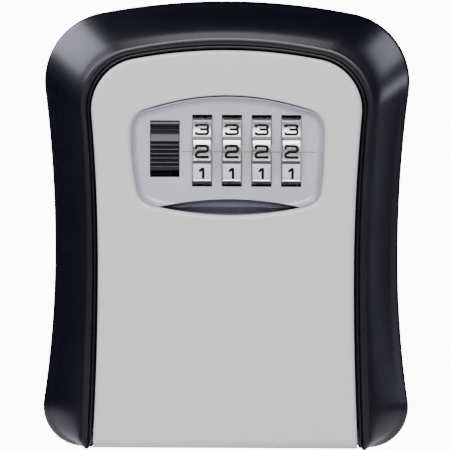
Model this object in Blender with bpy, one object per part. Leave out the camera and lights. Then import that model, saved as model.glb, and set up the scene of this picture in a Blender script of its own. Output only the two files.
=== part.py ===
"""Wall-mount key lock box with a four-digit combination dial, hinged at the bottom.

Sizes are in millimetres, measured from the middle of the lower edge of the wall face:
x to the right, y out of the wall (the front is at -y), z up. The mesh builder turns them
into metres and moves the origin to the centre of the wall face.
"""

import math

import bmesh
import bpy
from mathutils import Matrix, Vector

# ---------------------------------------------------------------- driving dimensions
HEIGHT = 115.5            # housing, bottom of the limbs to the top of the arch
WIDTH = 94.6              # housing at its widest
FACE_DEPTH = 38.0         # wall face to the front of the door
SIDE_WAIST = 2.9          # how far the housing's sides draw in
WAIST_HEIGHT = 50.0
TOP_RADIUS = 170.0        # crown of the housing's top edge
CORNER_RADIUS = 18.0
FOOT_RADIUS = 10.5        # lower outer corners of the limbs

SURROUND_TOP = 13.5       # housing top edge to door top edge
SURROUND_SIDE = 12.8      # housing side to door side
DOOR_GAP = 0.7            # door to housing, all round
DOOR_CORNER_RADIUS = 13.0
DOOR_TOP_RADIUS = 125.0
DOOR_WAIST = 1.9
DOOR_WAIST_HEIGHT = 45.0
DOOR_FOOT_FLARE = 1.2
DOOR_BOTTOM = 0.3
DOOR_SKIN = 2.3
DOOR_FLANGE = 2.0
DOOR_EDGE_RADIUS = 2.0
DOOR_DEPTH = 8.5
DRAFT = 0.3               # door sides lean in toward the front

WALL = 3.2                # inner box wall of the housing
SKIN = 2.6                # outer skin of the housing
FLOOR = 3.0
LEDGE = 1.4               # step the door closes against
LEDGE_THICKNESS = 2.3
CREST_DROP = 1.0          # surround crest behind the door face
CREST_WIDTH = 2.0
SLOPE_DEPTH = 10.0        # crest to the start of the straight outer wall
FOOT_OPEN = 2.4           # the box bottom sits this far above the limb ends
WEBS = 6                  # webs across the hollow of the surround, and as many hollows
EDGE_TURN = ((0.06, 0.82), (0.25, 0.56), (0.6, 0.24))  # share of slope, share of depth
BOTTOM_SET_BACK = 5.6     # bottom wall behind the hinge axis
SWING_ROOM = 6.0          # room above the hinge axis for the barrel and foot to swing
PIN_HOLE_START = 1.5      # pin holes start this far inside the door opening
PIN_HOLE_DEPTH = 3.2
PIN_REACH = 2.9
HOOK_WIDTH = 6.0
HOOK_THICK = 1.0
POCKET_ROOM = 1.0         # latch pocket round each nose

HINGE_HEIGHT = 4.3
HINGE_BEHIND_FACE = 4.5
PIN_RADIUS = 1.25
RUNNING_GAP = 0.15
SEAT_GAP = 0.3

SCREW_SPACING_X = 46.0
SCREW_SPACING_Z = 64.0
SCREW_HOLE_RADIUS = 2.6
SCREW_SEAT_RADIUS = 5.0
SCREW_SEAT_DEPTH = 0.8

WHEEL_COUNT = 4
DIGITS = 10
WHEEL_RADIUS = 10.0
WHEEL_PITCH = 7.6
WHEEL_GAP = 2.7           # between wheels: a cam disc and its travel
WHEEL_FLAT_DROP = 0.28    # numbered flats below the ridges between them
RIDGE_WIDTH = 0.62
BUTTON_TO_WHEELS = 9.6    # middle of the button to the middle of the first wheel
CODE_MIDDLE_X = 0.4       # middle of the row of button and wheels
CODE_DROP = 25.5          # door top edge to the wheel axis height
BEZEL_SINK = 2.6          # bezel face behind the door face
BEZEL_THICK = 1.5
WINDOW_GAP = 0.3
WINDOW_SIDE_GAP = 0.14
SHAFT_RADIUS = 1.3
SLEEVE_RADIUS = 2.3
CAM_RADIUS = 3.8
CAM_THICK = 1.0
GATE_WIDTH = 2.0
GATE_DEPTH = 1.45
CAM_SHIFT = 1.3
FINGER_THICK = 1.0

BUTTON_WIDTH = 7.3
BUTTON_HEIGHT = 12.7
BUTTON_TRAVEL = 1.5
BUTTON_PROUD = 1.2
BUTTON_RIBS = 6
BUTTON_RIB_PITCH = 1.15
BUTTON_WINDOW_ABOVE = 7.7 # window top above the wheel axis
NOSE_X = 15.0
NOSE_WIDTH = 8.0
NOSE_BITE = 1.0
LATCH_THICK = 1.2

COVER_WALL = 1.5
COVER_EAR_RADIUS = 2.4
COVER_EAR_THICK = 2.0
SCREW_RADIUS = 1.0
SCREW_HEAD_RADIUS = 1.8
SCREW_HEAD_HEIGHT = 1.3
THREAD_GAP = 0.15         # screw to the hole it is driven into
THROUGH_GAP = 0.2         # screw to the hole it passes through
POST_RADIUS = 2.0
POST_HOLE_DEPTH = 4.5
BEZEL_SCREW_DEPTH = 1.7
BEZEL_RIM_DROP = 0.8      # bezel rim behind the door face
BEZEL_FLANGE = 1.4        # flange beyond the opening, behind the door skin
EAR_HALF = 4.5            # shaft ears, half height
TAB_HALF = 2.6            # screw tabs, half height
LEAF_THICK = 0.35
WIRE_RADIUS = 0.25
SPRING_RADIUS = 1.5       # latch springs, to the middle of the wire
BEYOND = 1.0              # how far a cutting body reaches past what it cuts

# ---------------------------------------------------------------- derived places
MM = 0.001
HALF = WIDTH / 2
FACE_Y = -FACE_DEPTH
CREST_Y = FACE_Y + CREST_DROP
DOOR_BACK_Y = FACE_Y + DOOR_DEPTH
LEDGE_Y = DOOR_BACK_Y + SEAT_GAP
DOOR_TOP = HEIGHT - SURROUND_TOP
DOOR_HALF = HALF - SURROUND_SIDE
HINGE_Y = FACE_Y + HINGE_BEHIND_FACE
AXIS_Z = DOOR_TOP - CODE_DROP
BEZEL_Y = FACE_Y + BEZEL_SINK
BEZEL_BACK_Y = BEZEL_Y + BEZEL_THICK
SKIN_BACK_Y = FACE_Y + DOOR_SKIN
WINDOW_HALF = 0.92 * WHEEL_RADIUS
CLEAR_RADIUS = WHEEL_RADIUS + WINDOW_GAP
AXIS_Y = BEZEL_Y + math.sqrt(CLEAR_RADIUS**2 - WINDOW_HALF**2)
BUTTON_X = CODE_MIDDLE_X - (BUTTON_TO_WHEELS + (WHEEL_COUNT - 1) * WHEEL_PITCH) / 2
WHEEL_X = [BUTTON_X + BUTTON_TO_WHEELS + i * WHEEL_PITCH for i in range(WHEEL_COUNT)]
WINDOW_LEFT = BUTTON_X - 8.6
WINDOW_RIGHT = WHEEL_X[-1] + 8.4
WINDOW_TOP = AXIS_Z + WHEEL_RADIUS + 4.1
WINDOW_SHOULDER = AXIS_Z + WHEEL_RADIUS + 0.5
WINDOW_HIP = AXIS_Z - WHEEL_RADIUS
WINDOW_BOTTOM = AXIS_Z - WHEEL_RADIUS - 6.5
LENS_TIP_Z = AXIS_Z - WHEEL_RADIUS - 4.5
LENS_LEFT = WINDOW_LEFT + 7.2
LENS_RIGHT = WINDOW_RIGHT - 5.9
WHEEL_WIDTH = WHEEL_PITCH - WHEEL_GAP
CAM_GAP = (WHEEL_GAP - CAM_THICK - CAM_SHIFT) / 2
POST_X = DOOR_HALF - 5.6
COVER_HALF = POST_X - POST_RADIUS
COVER_ROOM = COVER_HALF - COVER_WALL - SEAT_GAP
EAR_THICK = 1.2
FORK_THICK = 0.7
EAR_LEFT_X = WHEEL_X[0] - WHEEL_WIDTH / 2 - 3.6
FORK_LEFT_X = EAR_LEFT_X + EAR_THICK + RUNNING_GAP
FORK_RIGHT_X = FORK_LEFT_X + FORK_THICK
EAR_RIGHT_X = min(WHEEL_X[-1] + WHEEL_WIDTH / 2 + 4.4, COVER_ROOM - EAR_THICK)
LATCH_Y = AXIS_Y + WHEEL_RADIUS + 0.6
LATCH_BACK_Y = LATCH_Y + LATCH_THICK
LEVER_Y = LATCH_BACK_Y + SEAT_GAP
LEVER_BACK_Y = LEVER_Y + 1.0
COVER_INNER_Y = LEVER_BACK_Y + SEAT_GAP
COVER_BACK_Y = COVER_INNER_Y + COVER_WALL
COVER_FRONT_Y = DOOR_BACK_Y + 0.8
COVER_BOTTOM = AXIS_Z - WHEEL_RADIUS - 6.0
COVER_TOP = AXIS_Z + WHEEL_RADIUS + 8.5
POST_LOW_Z = AXIS_Z - WHEEL_RADIUS - 0.5
POST_HIGH_Z = AXIS_Z + WHEEL_RADIUS + 1.5
KNOB_HALF = 1.5
STEM_LEFT_X = BUTTON_X - 2.4
SPRING_ROOM = SPRING_RADIUS + WIRE_RADIUS + SEAT_GAP
SPRING_LEFT_X = max(STEM_LEFT_X, 2 * SPRING_ROOM - COVER_ROOM) - SPRING_ROOM
SPRING_RIGHT_X = min(WHEEL_X[-1] + WHEEL_WIDTH / 2, COVER_ROOM - 2 * SPRING_ROOM) + SPRING_ROOM
BUTTON_SCREW_X = BUTTON_X - 0.2
BUTTON_SCREW_Z = AXIS_Z + 4.5
ARC_STEPS = 5


# ---------------------------------------------------------------- materials and meshes
def material(name, color, roughness, metallic=0.0):
    """A Principled material with the sub-part's colour and finish."""
    made = bpy.data.materials.new(name)
    made.use_nodes = True
    shader = made.node_tree.nodes["Principled BSDF"]
    shader.inputs["Base Color"].default_value = (*color, 1.0)
    shader.inputs["Roughness"].default_value = roughness
    shader.inputs["Metallic"].default_value = metallic
    return made


def in_frame(x, y, z):
    """Millimetres from the lower edge of the wall face, to metres from its centre."""
    return Vector((x * MM, y * MM, (z - HEIGHT / 2) * MM))


def solid(name, points, faces, look=None, smooth=True):
    """A mesh object from millimetre points, with outward normals."""
    mesh = bpy.data.meshes.new(name)
    mesh.from_pydata([in_frame(*p) for p in points], [], faces)
    shape = bmesh.new()
    shape.from_mesh(mesh)
    bmesh.ops.recalc_face_normals(shape, faces=shape.faces)
    shape.to_mesh(mesh)
    shape.free()
    if smooth:
        mesh.shade_smooth()
        mesh.set_sharp_from_angle(angle=math.radians(32))
    made = bpy.data.objects.new(name, mesh)
    bpy.context.scene.collection.objects.link(made)
    if look:
        mesh.materials.append(look)
    return made


def loft(name, rings, look=None):
    """A closed body through equal rings of points, capped at both ends."""
    count = len(rings[0])
    points = [p for ring in rings for p in ring]
    faces = []
    for k in range(len(rings) - 1):
        for i in range(count):
            j = (i + 1) % count
            faces.append((k * count + i, k * count + j, (k + 1) * count + j, (k + 1) * count + i))
    faces.append(tuple(range(count)))
    faces.append(tuple((len(rings) - 1) * count + i for i in range(count)))
    return solid(name, points, faces, look)


def prism_y(name, outline, low, high, look=None):
    """An (x, z) outline pushed along y."""
    return loft(name, [[(x, y, z) for x, z in outline] for y in (low, high)], look)


def prism_x(name, outline, low, high, look=None):
    """A (y, z) outline pushed along x."""
    return loft(name, [[(x, y, z) for y, z in outline] for x in (low, high)], look)


def block(name, x, y, z, look=None):
    """A box from three (low, high) pairs."""
    return prism_y(name, [(x[0], z[0]), (x[1], z[0]), (x[1], z[1]), (x[0], z[1])], *y, look)


def circle(radius, steps, turn=0.0):
    """Points (u, v) of a circle."""
    angles = [turn + 2 * math.pi * i / steps for i in range(steps)]
    return [(radius * math.cos(a), radius * math.sin(a)) for a in angles]


def rod_x(name, y, z, profile, steps=24, look=None):
    """A turned body on an axis along x, from (x, radius) pairs."""
    rings = [[(x, y + u, z + v) for u, v in circle(radius, steps)] for x, radius in profile]
    return loft(name, rings, look)


def rod_y(name, x, z, profile, steps=16, look=None):
    """A turned body on an axis along y, from (y, radius) pairs."""
    rings = [[(x + u, y, z + v) for u, v in circle(radius, steps)] for y, radius in profile]
    return loft(name, rings, look)


def combine(target, tool, operation):
    """Joins, cuts or keeps the common part of two bodies, and drops the second."""
    step = target.modifiers.new(operation, "BOOLEAN")
    step.operation = operation
    step.solver = "EXACT"
    step.object = tool
    graph = bpy.context.evaluated_depsgraph_get()
    result = bpy.data.meshes.new_from_object(target.evaluated_get(graph))
    target.modifiers.remove(step)
    old = target.data
    target.data = result
    bpy.data.meshes.remove(old)
    bpy.data.objects.remove(tool)


def cut(target, *tools):
    for tool in tools:
        combine(target, tool, "DIFFERENCE")


def add(target, *tools):
    for tool in tools:
        combine(target, tool, "UNION")


def tidy(target):
    """Welds what a Boolean leaves split, and melts flat seams."""
    shape = bmesh.new()
    shape.from_mesh(target.data)
    bmesh.ops.remove_doubles(shape, verts=shape.verts, dist=2e-6)
    bmesh.ops.dissolve_degenerate(shape, dist=1e-6, edges=shape.edges)
    shape.to_mesh(target.data)
    shape.free()
    target.data.shade_smooth()
    target.data.set_sharp_from_angle(angle=math.radians(32))


# ---------------------------------------------------------------- outlines, as (x, z)
def arc(center, radius, start, end, steps):
    """Points of an arc, its end point left to the next run."""
    angles = [start + (end - start) * i / steps for i in range(steps)]
    return [(center[0] + radius * math.cos(a), center[1] + radius * math.sin(a)) for a in angles]


def between(waist, z, other, corner_radius):
    """Centre and radius of the side arc that leaves the waist and meets a corner circle."""
    reach = waist - other[0]
    rise = z - other[1]
    radius = (reach**2 + rise**2 - corner_radius**2) / (2 * (corner_radius - reach))
    return (waist + radius, z), radius


def crown(top, top_radius, corner_x, corner_radius):
    """Centre of the corner circle that meets the crown from inside."""
    rise = math.sqrt((top_radius - corner_radius) ** 2 - corner_x**2)
    return (corner_x, top - top_radius + rise)


def upper_half(waist, waist_z, top, top_radius, corner_x, corner_radius):
    """Right-hand outline from the waist to the middle of the crown."""
    corner = crown(top, top_radius, corner_x, corner_radius)
    side, side_radius = between(waist, waist_z, corner, corner_radius)
    lean = math.atan2(corner[1] - side[1], corner[0] - side[0])
    crown_center = (0.0, top - top_radius)
    crown_start = math.atan2(corner[1] - crown_center[1], corner[0])
    points = arc(side, side_radius, math.pi, lean, ARC_STEPS)
    points += arc(corner, corner_radius, lean - math.pi, crown_start, 2 * ARC_STEPS)
    points += arc(crown_center, top_radius, crown_start, math.pi / 2, ARC_STEPS)
    return points + [(0.0, top)]


def whole(right_half):
    """The right half from the foot to the crown, then its mirror back down to the left foot."""
    return right_half + [(-x, z) for x, z in reversed(right_half[:-1])]


def housing_outline():
    """Outer edge of the housing, from the right foot over the crown to the left foot."""
    waist = HALF - SIDE_WAIST
    foot = (HALF - FOOT_RADIUS, FOOT_RADIUS)
    side, side_radius = between(waist, WAIST_HEIGHT, foot, FOOT_RADIUS)
    lean = math.atan2(foot[1] - side[1], foot[0] - side[0])
    points = arc(foot, FOOT_RADIUS, -math.pi / 2, lean + math.pi, 2 * ARC_STEPS)
    points += arc(side, side_radius, lean % (2 * math.pi), math.pi, ARC_STEPS)
    points += upper_half(waist, WAIST_HEIGHT, HEIGHT, TOP_RADIUS, HALF - CORNER_RADIUS, CORNER_RADIUS)
    return whole(points)


def door_outline(grow=0.0):
    """Edge of the door, grown outward, with as many points as the housing's."""
    waist = DOOR_HALF - DOOR_WAIST
    foot = waist + DOOR_FOOT_FLARE
    side_radius = (DOOR_WAIST_HEIGHT**2) / (2 * DOOR_FOOT_FLARE)
    heights = [FOOT_RADIUS * i / (2 * ARC_STEPS) for i in range(2 * ARC_STEPS)]
    rest = DOOR_WAIST_HEIGHT - FOOT_RADIUS
    heights += [FOOT_RADIUS + rest * i / ARC_STEPS for i in range(ARC_STEPS)]
    points = [(waist + (DOOR_WAIST_HEIGHT - z) ** 2 / (2 * side_radius) + grow, z) for z in heights]
    points[0] = (foot + grow, 0.0)
    points += upper_half(
        waist + grow, DOOR_WAIST_HEIGHT, DOOR_TOP + grow, DOOR_TOP_RADIUS + grow,
        DOOR_HALF - DOOR_CORNER_RADIUS, DOOR_CORNER_RADIUS + grow)
    return whole(points)


def rounded(low_x, high_x, low_z, high_z, radius, steps=4):
    """A rectangle with round corners."""
    points = []
    for cx, cz, start in (
        (high_x - radius, low_z + radius, -90), (high_x - radius, high_z - radius, 0),
        (low_x + radius, high_z - radius, 90), (low_x + radius, low_z + radius, 180),
    ):
        begin = math.radians(start)
        points += arc((cx, cz), radius, begin, begin + math.pi / 2, steps)
        end = begin + math.pi / 2
        points.append((cx + radius * math.cos(end), cz + radius * math.sin(end)))
    return points


def window_outline(grow=0.0):
    """Opening in the door for the bezel: crowned top, drawn-in sides, lens-shaped bottom."""
    right, left = WINDOW_RIGHT + grow, WINDOW_LEFT - grow
    top, bottom = WINDOW_TOP + grow, WINDOW_BOTTOM - grow
    shoulder, hip = WINDOW_SHOULDER, WINDOW_HIP
    middle = (left + right) / 2
    lens = LENS_TIP_Z - grow
    points = curve((right, shoulder - 6.0), (right, shoulder - 1.4), (right - 3.8, shoulder), 5)
    points += curve((right - 3.8, shoulder), (middle, 2 * top - shoulder), (left + 3.8, shoulder), 12)
    points += curve((left + 3.8, shoulder), (left, shoulder - 1.4), (left, shoulder - 6.0), 5)
    points += curve((left + 1.6, hip), (left + 2.2, lens + 0.8), (left + 7.2, lens), 6)
    points += curve((left + 7.2, lens), (middle + 0.6, 2 * bottom - lens), (right - 6.0, lens), 12)
    points += curve((right - 6.0, lens), (right - 1.0, lens + 0.8), (right - 0.8, hip), 6)
    return points


def curve(start, middle, end, steps):
    """A quadratic curve, its end point left to the next run."""
    points = []
    for i in range(steps):
        t = i / steps
        a, b, c = (1 - t) ** 2, 2 * t * (1 - t), t**2
        points.append(tuple(a * start[k] + b * middle[k] + c * end[k] for k in (0, 1)))
    return points


def lens_outline(grow=0.0):
    """The finger opening between the bezel and the door."""
    left, right = LENS_LEFT - grow, LENS_RIGHT + grow
    middle = (left + right) / 2
    points = curve((right, LENS_TIP_Z), (middle, LENS_TIP_Z - 4.0 - 2 * grow), (left, LENS_TIP_Z), 10)
    return points + curve((left, LENS_TIP_Z), (middle, LENS_TIP_Z + 3.8 + 2 * grow), (right, LENS_TIP_Z), 10)


# ---------------------------------------------------------------- housing and what it holds
def blend(a, b, share):
    return a + (b - a) * share


def surround_rings():
    """Cross-sections of the arch, one for each outline point, from foot to foot."""
    outer = housing_outline()
    opening = door_outline(DOOR_GAP)
    inside = door_outline(DOOR_GAP - LEDGE)
    rings = []
    for far, near, deep in zip(outer, opening, inside):
        width = math.dist(far, near)
        inner_crest = min(0.8 / width, 0.3)
        outer_crest = min((0.8 + CREST_WIDTH) / width, 0.7)
        section = [(0.0, far), (CREST_Y + SLOPE_DEPTH, far)]
        for share, depth in EDGE_TURN:
            across = blend(1.0, outer_crest, share)
            section.append((CREST_Y + SLOPE_DEPTH * depth, lerp(near, far, across)))
        section.append((CREST_Y + 0.3, lerp(near, far, outer_crest)))
        section.append((CREST_Y, lerp(near, far, (outer_crest + inner_crest) / 2)))
        section.append((CREST_Y + 0.15, lerp(near, far, inner_crest)))
        section.append((CREST_Y + 0.9, near))
        section += [(LEDGE_Y, near), (LEDGE_Y, deep), (0.0, deep)]
        rings.append([(x, y, z) for y, (x, z) in section])
    return rings


def lerp(p, q, share):
    return (blend(p[0], q[0], share), blend(p[1], q[1], share))


def midway(points):
    """The middle of each stretch of an outline."""
    return [lerp(p, q, 0.5) for p, q in zip(points, points[1:])]


def hollow_rings(first, last):
    """Cross-sections of the hollow behind the arch between two outline points."""
    outer = midway(housing_outline())
    opening = midway(door_outline(DOOR_GAP))
    rings = []
    for far, edge in list(zip(outer, opening))[first:last]:
        width = math.dist(far, edge)
        skin = 1 - SKIN / width
        wall = (WALL - LEDGE) / width
        start = lerp(edge, far, min(wall, 0.4))
        stop = lerp(edge, far, max(skin, 0.55))
        front = CREST_Y + SKIN + 0.6
        side = CREST_Y + SLOPE_DEPTH * 0.82 + 0.5
        middle = lerp(start, stop, 0.35)
        section = [(BEYOND, stop), (side, stop), (blend(front, side, 0.35), middle),
                   (front, start), (BEYOND, start)]
        rings.append([(x, y, z) for y, (x, z) in section])
    return rings


def make_housing(look):
    """Cast body: arch, box walls, floor, bottom wall, pin holes and wall-screw holes."""
    body = loft("housing", surround_rings(), look)
    inside = door_outline(DOOR_GAP - LEDGE + 1.0)
    floor = [(x, max(z, FOOT_OPEN)) for x, z in inside if z > FOOT_OPEN]
    foot_x = inside[0][0]
    floor = [(foot_x, FOOT_OPEN)] + floor + [(-foot_x, FOOT_OPEN)]
    add(body, prism_y("floor", floor, -FLOOR, 0.0))
    bottom_front = HINGE_Y + BOTTOM_SET_BACK
    add(body, block("bottom", (-foot_x, foot_x), (bottom_front, -0.5), (FOOT_OPEN, FOOT_OPEN + WALL)))
    opening_foot = door_outline(DOOR_GAP)[0][0]
    cut(body, block("foot_gap", (-opening_foot, opening_foot),
                    (LEDGE_Y - BEYOND, BEYOND), (-BEYOND, FOOT_OPEN)))
    cut(body, block("swing_gap", (-opening_foot, opening_foot),
                    (LEDGE_Y - BEYOND, bottom_front), (-BEYOND, HINGE_HEIGHT + SWING_ROOM)))
    spare = 3
    steps = len(housing_outline()) - 2 * spare
    for k in range(WEBS):
        first = spare + round(k * steps / WEBS)
        last = spare + round((k + 1) * steps / WEBS)
        cut(body, loft("hollow", hollow_rings(first, last), None))
    for side in (-1, 1):
        near = side * (opening_foot - PIN_HOLE_START)
        far = side * (opening_foot + PIN_HOLE_DEPTH)
        bore = PIN_RADIUS + RUNNING_GAP
        cut(body, rod_x("pin_hole", HINGE_Y, HINGE_HEIGHT, [(min(near, far), bore), (max(near, far), bore)]))
        lip = nose_top() - NOSE_BITE
        wide = NOSE_WIDTH / 2 + POCKET_ROOM
        behind_lip = LEDGE_Y + LEDGE_THICKNESS
        cut(body, block("latch_pocket", (side * NOSE_X - wide, side * NOSE_X + wide),
                        (behind_lip, behind_lip + 3.2), (lip - 3.0, nose_top() + 0.6)))
    for x in (-SCREW_SPACING_X / 2, SCREW_SPACING_X / 2):
        for z in (HEIGHT / 2 - SCREW_SPACING_Z / 2, HEIGHT / 2 + SCREW_SPACING_Z / 2):
            cut(body, rod_y("screw_hole", x, z, [
                (-FLOOR - BEYOND, SCREW_HOLE_RADIUS), (BEYOND, SCREW_HOLE_RADIUS)], 20))
            cut(body, rod_y("screw_seat", x, z, [
                (-FLOOR - BEYOND, SCREW_SEAT_RADIUS), (-FLOOR + SCREW_SEAT_DEPTH, SCREW_SEAT_RADIUS)], 20))
    thread = SCREW_RADIUS + THREAD_GAP
    cut(body, rod_y("hook_hole", 0.0, hook_z(), [(-FLOOR - BEYOND, thread), (-FLOOR + 2.0, thread)], 12))
    tidy(body)
    return body


def hook_z():
    """Height of the key hook's screw, under the lock cover."""
    return COVER_BOTTOM - 7.0


def make_hinge_pin(look):
    reach = door_outline(DOOR_GAP)[0][0] + PIN_REACH
    chamfer = 0.3
    return rod_x("hinge_pin", HINGE_Y, HINGE_HEIGHT, [
        (-reach, PIN_RADIUS - chamfer), (-reach + chamfer, PIN_RADIUS),
        (reach - chamfer, PIN_RADIUS), (reach, PIN_RADIUS - chamfer)], 20, look)


def make_key_hook(look, steel):
    """Bent strip for the key ring, held to the floor by one screw."""
    z = hook_z()
    foot = -FLOOR - SEAT_GAP
    thick = HOOK_THICK
    through = SCREW_RADIUS + THROUGH_GAP
    strip = [
        (foot, z + 3.5), (foot, z - 4.2), (foot - 8.0, z - 6.4), (foot - 9.6, z - 3.2),
        (foot - 8.7, z - 2.8), (foot - 7.6, z - 5.2), (foot - thick, z - 3.3), (foot - thick, z + 3.5)]
    hook = prism_x("key_hook", strip, -HOOK_WIDTH / 2, HOOK_WIDTH / 2, look)
    cut(hook, rod_y("hole", 0.0, z, [(foot - 3.0, through), (BEYOND, through)], 12))
    tidy(hook)
    make_screw("key_hook_screw", 0.0, z, foot - thick - 0.2, 1, 3.3, steel)


def make_screw(name, x, z, seat_y, toward, length, look):
    """Pan-head screw. Its head stands on seat_y, its shank runs along toward * y."""
    head = SCREW_HEAD_HEIGHT
    profile = [
        (seat_y - toward * head, SCREW_HEAD_RADIUS * 0.6),
        (seat_y - toward * head * 0.75, SCREW_HEAD_RADIUS * 0.88),
        (seat_y - toward * head * 0.4, SCREW_HEAD_RADIUS), (seat_y, SCREW_HEAD_RADIUS),
        (seat_y, SCREW_RADIUS), (seat_y + toward * (length - 0.5), SCREW_RADIUS),
        (seat_y + toward * length, SCREW_RADIUS * 0.5)]
    return rod_y(name, x, z, profile, 12, look)


# ---------------------------------------------------------------- door and what is fixed to it
def door_ring(y, inset, lift=0.0):
    """The door's closed outline at one depth, drawn in by inset, with its foot at lift."""
    points = door_outline(-inset)
    low = DOOR_BOTTOM + lift
    ring = [(x, y, max(z, low)) for x, z in points if z > low + 0.5]
    foot_x = points[0][0]
    return [(foot_x, y, low)] + ring + [(-foot_x, y, low)]


def even(rings):
    """The rings with the same number of points, by dropping the lowest side points."""
    count = min(len(ring) for ring in rings)
    trimmed = []
    for ring in rings:
        extra = (len(ring) - count) // 2
        trimmed.append([ring[0]] + ring[1 + extra:len(ring) - 1 - extra] + [ring[-1]])
    return trimmed


def make_door(look):
    """Pressed shell with a rounded front edge, a hinge barrel along its foot and screw posts."""
    turn = [math.radians(22.5 * k) for k in range(5)]
    front = []
    for a in turn:
        inset = DRAFT + DOOR_EDGE_RADIUS * (1 - math.cos(a))
        depth = FACE_Y + DOOR_EDGE_RADIUS * (1 - math.sin(a))
        front.append(door_ring(depth, inset, inset - DRAFT))
    inner = DOOR_FLANGE + DRAFT
    rings = [
        door_ring(SKIN_BACK_Y, inner, SWING_ROOM), door_ring(DOOR_BACK_Y, DOOR_FLANGE, SWING_ROOM),
        door_ring(DOOR_BACK_Y, 0.0, 0.0)] + front
    door = loft("door_panel", even(rings), look)
    barrel = HINGE_HEIGHT - DOOR_BOTTOM - 0.05
    foot = door_outline(0.0)[0][0]
    # the shell's lower back edge gives way to the barrel, so that it clears the box as it swings
    cut(door, block("foot_cut", (-HALF, HALF), (HINGE_Y, 0.0), (-BEYOND, HINGE_HEIGHT + SWING_ROOM)))
    add(door, rod_x("barrel", HINGE_Y, HINGE_HEIGHT, [(-foot + DRAFT, barrel), (foot - DRAFT, barrel)], 28))
    bore = PIN_RADIUS + RUNNING_GAP
    cut(door, rod_x("bore", HINGE_Y, HINGE_HEIGHT, [(-HALF, bore), (HALF, bore)], 20))
    cut(door, prism_y("window", window_outline(), FACE_Y - BEYOND, SKIN_BACK_Y + BEYOND))
    thread = SCREW_RADIUS + THREAD_GAP
    for x in (-POST_X, POST_X):
        for z in (POST_LOW_Z, POST_HIGH_Z):
            add(door, rod_y("post", x, z, [(SKIN_BACK_Y - 0.8, POST_RADIUS), (DOOR_BACK_Y, POST_RADIUS)], 14))
            cut(door, rod_y("hole", x, z, [
                (DOOR_BACK_Y - POST_HOLE_DEPTH, thread), (DOOR_BACK_Y + BEYOND, thread)], 12))
        cut(door, rod_y("hole", x, AXIS_Z, [
            (SKIN_BACK_Y - BEZEL_SCREW_DEPTH, thread), (SKIN_BACK_Y + BEYOND, thread)], 12))
    tidy(door)
    return door


def make_bezel(look):
    """Lock body: sunk face in a raised rim, windows, flange behind the door skin, shaft ears."""
    flange_y = SKIN_BACK_Y + SEAT_GAP
    rim_y = FACE_Y + BEZEL_RIM_DROP
    sections = [(flange_y + BEZEL_THICK, BEZEL_FLANGE), (flange_y, BEZEL_FLANGE),
                (flange_y, -SEAT_GAP), (rim_y, -SEAT_GAP),
                (rim_y, -0.5), (blend(rim_y, BEZEL_Y, 0.7), -1.0), (BEZEL_Y, -1.6)]
    bezel = loft("dial_bezel", [[(x, y, z) for x, z in window_outline(grow)] for y, grow in sections], look)
    cut(bezel, prism_y("lens", lens_outline(0.2), FACE_Y - BEYOND, flange_y + 4.0))
    cut(bezel, block("low", (-HALF, HALF), (FACE_Y - BEYOND, flange_y + 4.0),
                     (LENS_TIP_Z - 10.0, LENS_TIP_Z)))
    through = SCREW_RADIUS + THROUGH_GAP
    shaft_hole = SHAFT_RADIUS + RUNNING_GAP
    for side in (-1, 1):
        tab = (side * (POST_X + 2.0), side * (WINDOW_RIGHT - 2.0))
        add(bezel, block("tab", (min(tab), max(tab)), (flange_y, flange_y + BEZEL_THICK),
                         (AXIS_Z - TAB_HALF, AXIS_Z + TAB_HALF)))
        cut(bezel, rod_y("hole", side * POST_X, AXIS_Z, [
            (flange_y - BEYOND, through), (flange_y + 3.0, through)], 12))
    for x in (EAR_LEFT_X, EAR_RIGHT_X):
        add(bezel, block("ear", (x, x + EAR_THICK), (flange_y + 0.4, AXIS_Y + 4.0),
                         (AXIS_Z - EAR_HALF, AXIS_Z + EAR_HALF)))
    cut(bezel, rod_x("shaft_hole", AXIS_Y, AXIS_Z, [
        (EAR_LEFT_X - BEYOND, shaft_hole), (EAR_RIGHT_X + 3.0, shaft_hole)], 20))
    cam_room = CAM_RADIUS + 0.25
    for x in WHEEL_X:
        disc = x + WHEEL_WIDTH / 2 + CAM_GAP
        cut(bezel, rod_x("cam_room", AXIS_Y, AXIS_Z, [
            (disc - 0.25, cam_room), (disc + CAM_THICK + CAM_SHIFT + 0.25, cam_room)], 24))
        half = WHEEL_WIDTH / 2 + WINDOW_SIDE_GAP
        cut(bezel, rod_x("wheel_room", AXIS_Y, AXIS_Z, [
            (x - half, CLEAR_RADIUS), (x + half, CLEAR_RADIUS)], 60))
    bottom, top = button_window()
    half = BUTTON_WIDTH / 2 + RUNNING_GAP
    cut(bezel, block("button_room", (BUTTON_X - half, BUTTON_X + half),
                     (FACE_Y - BEYOND, flange_y + 3.0), (bottom, top)))
    tidy(bezel)
    return bezel


def button_window():
    """Lowest and highest z of the button's window."""
    top = AXIS_Z + BUTTON_WINDOW_ABOVE
    return top - BUTTON_HEIGHT - BUTTON_TRAVEL - 2 * RUNNING_GAP, top


def make_finger_cup(look):
    """Dark cup behind the lens-shaped finger opening."""
    front = SKIN_BACK_Y + SEAT_GAP
    behind_bezel = front + BEZEL_THICK + SEAT_GAP
    wide = (LENS_LEFT - 3.4, LENS_RIGHT + 3.3)
    low, high = LENS_TIP_Z - 5.2, LENS_TIP_Z + 3.3
    cup = block("finger_cup", wide, (behind_bezel, behind_bezel + 4.6), (low, high), look)
    add(cup, block("lip", wide, (front, behind_bezel + 1.0), (low, LENS_TIP_Z - 2.6)))
    cut(cup, prism_y("bowl", lens_outline(0.1), front - 1.0, behind_bezel + 3.6))
    tidy(cup)
    return cup


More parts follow.
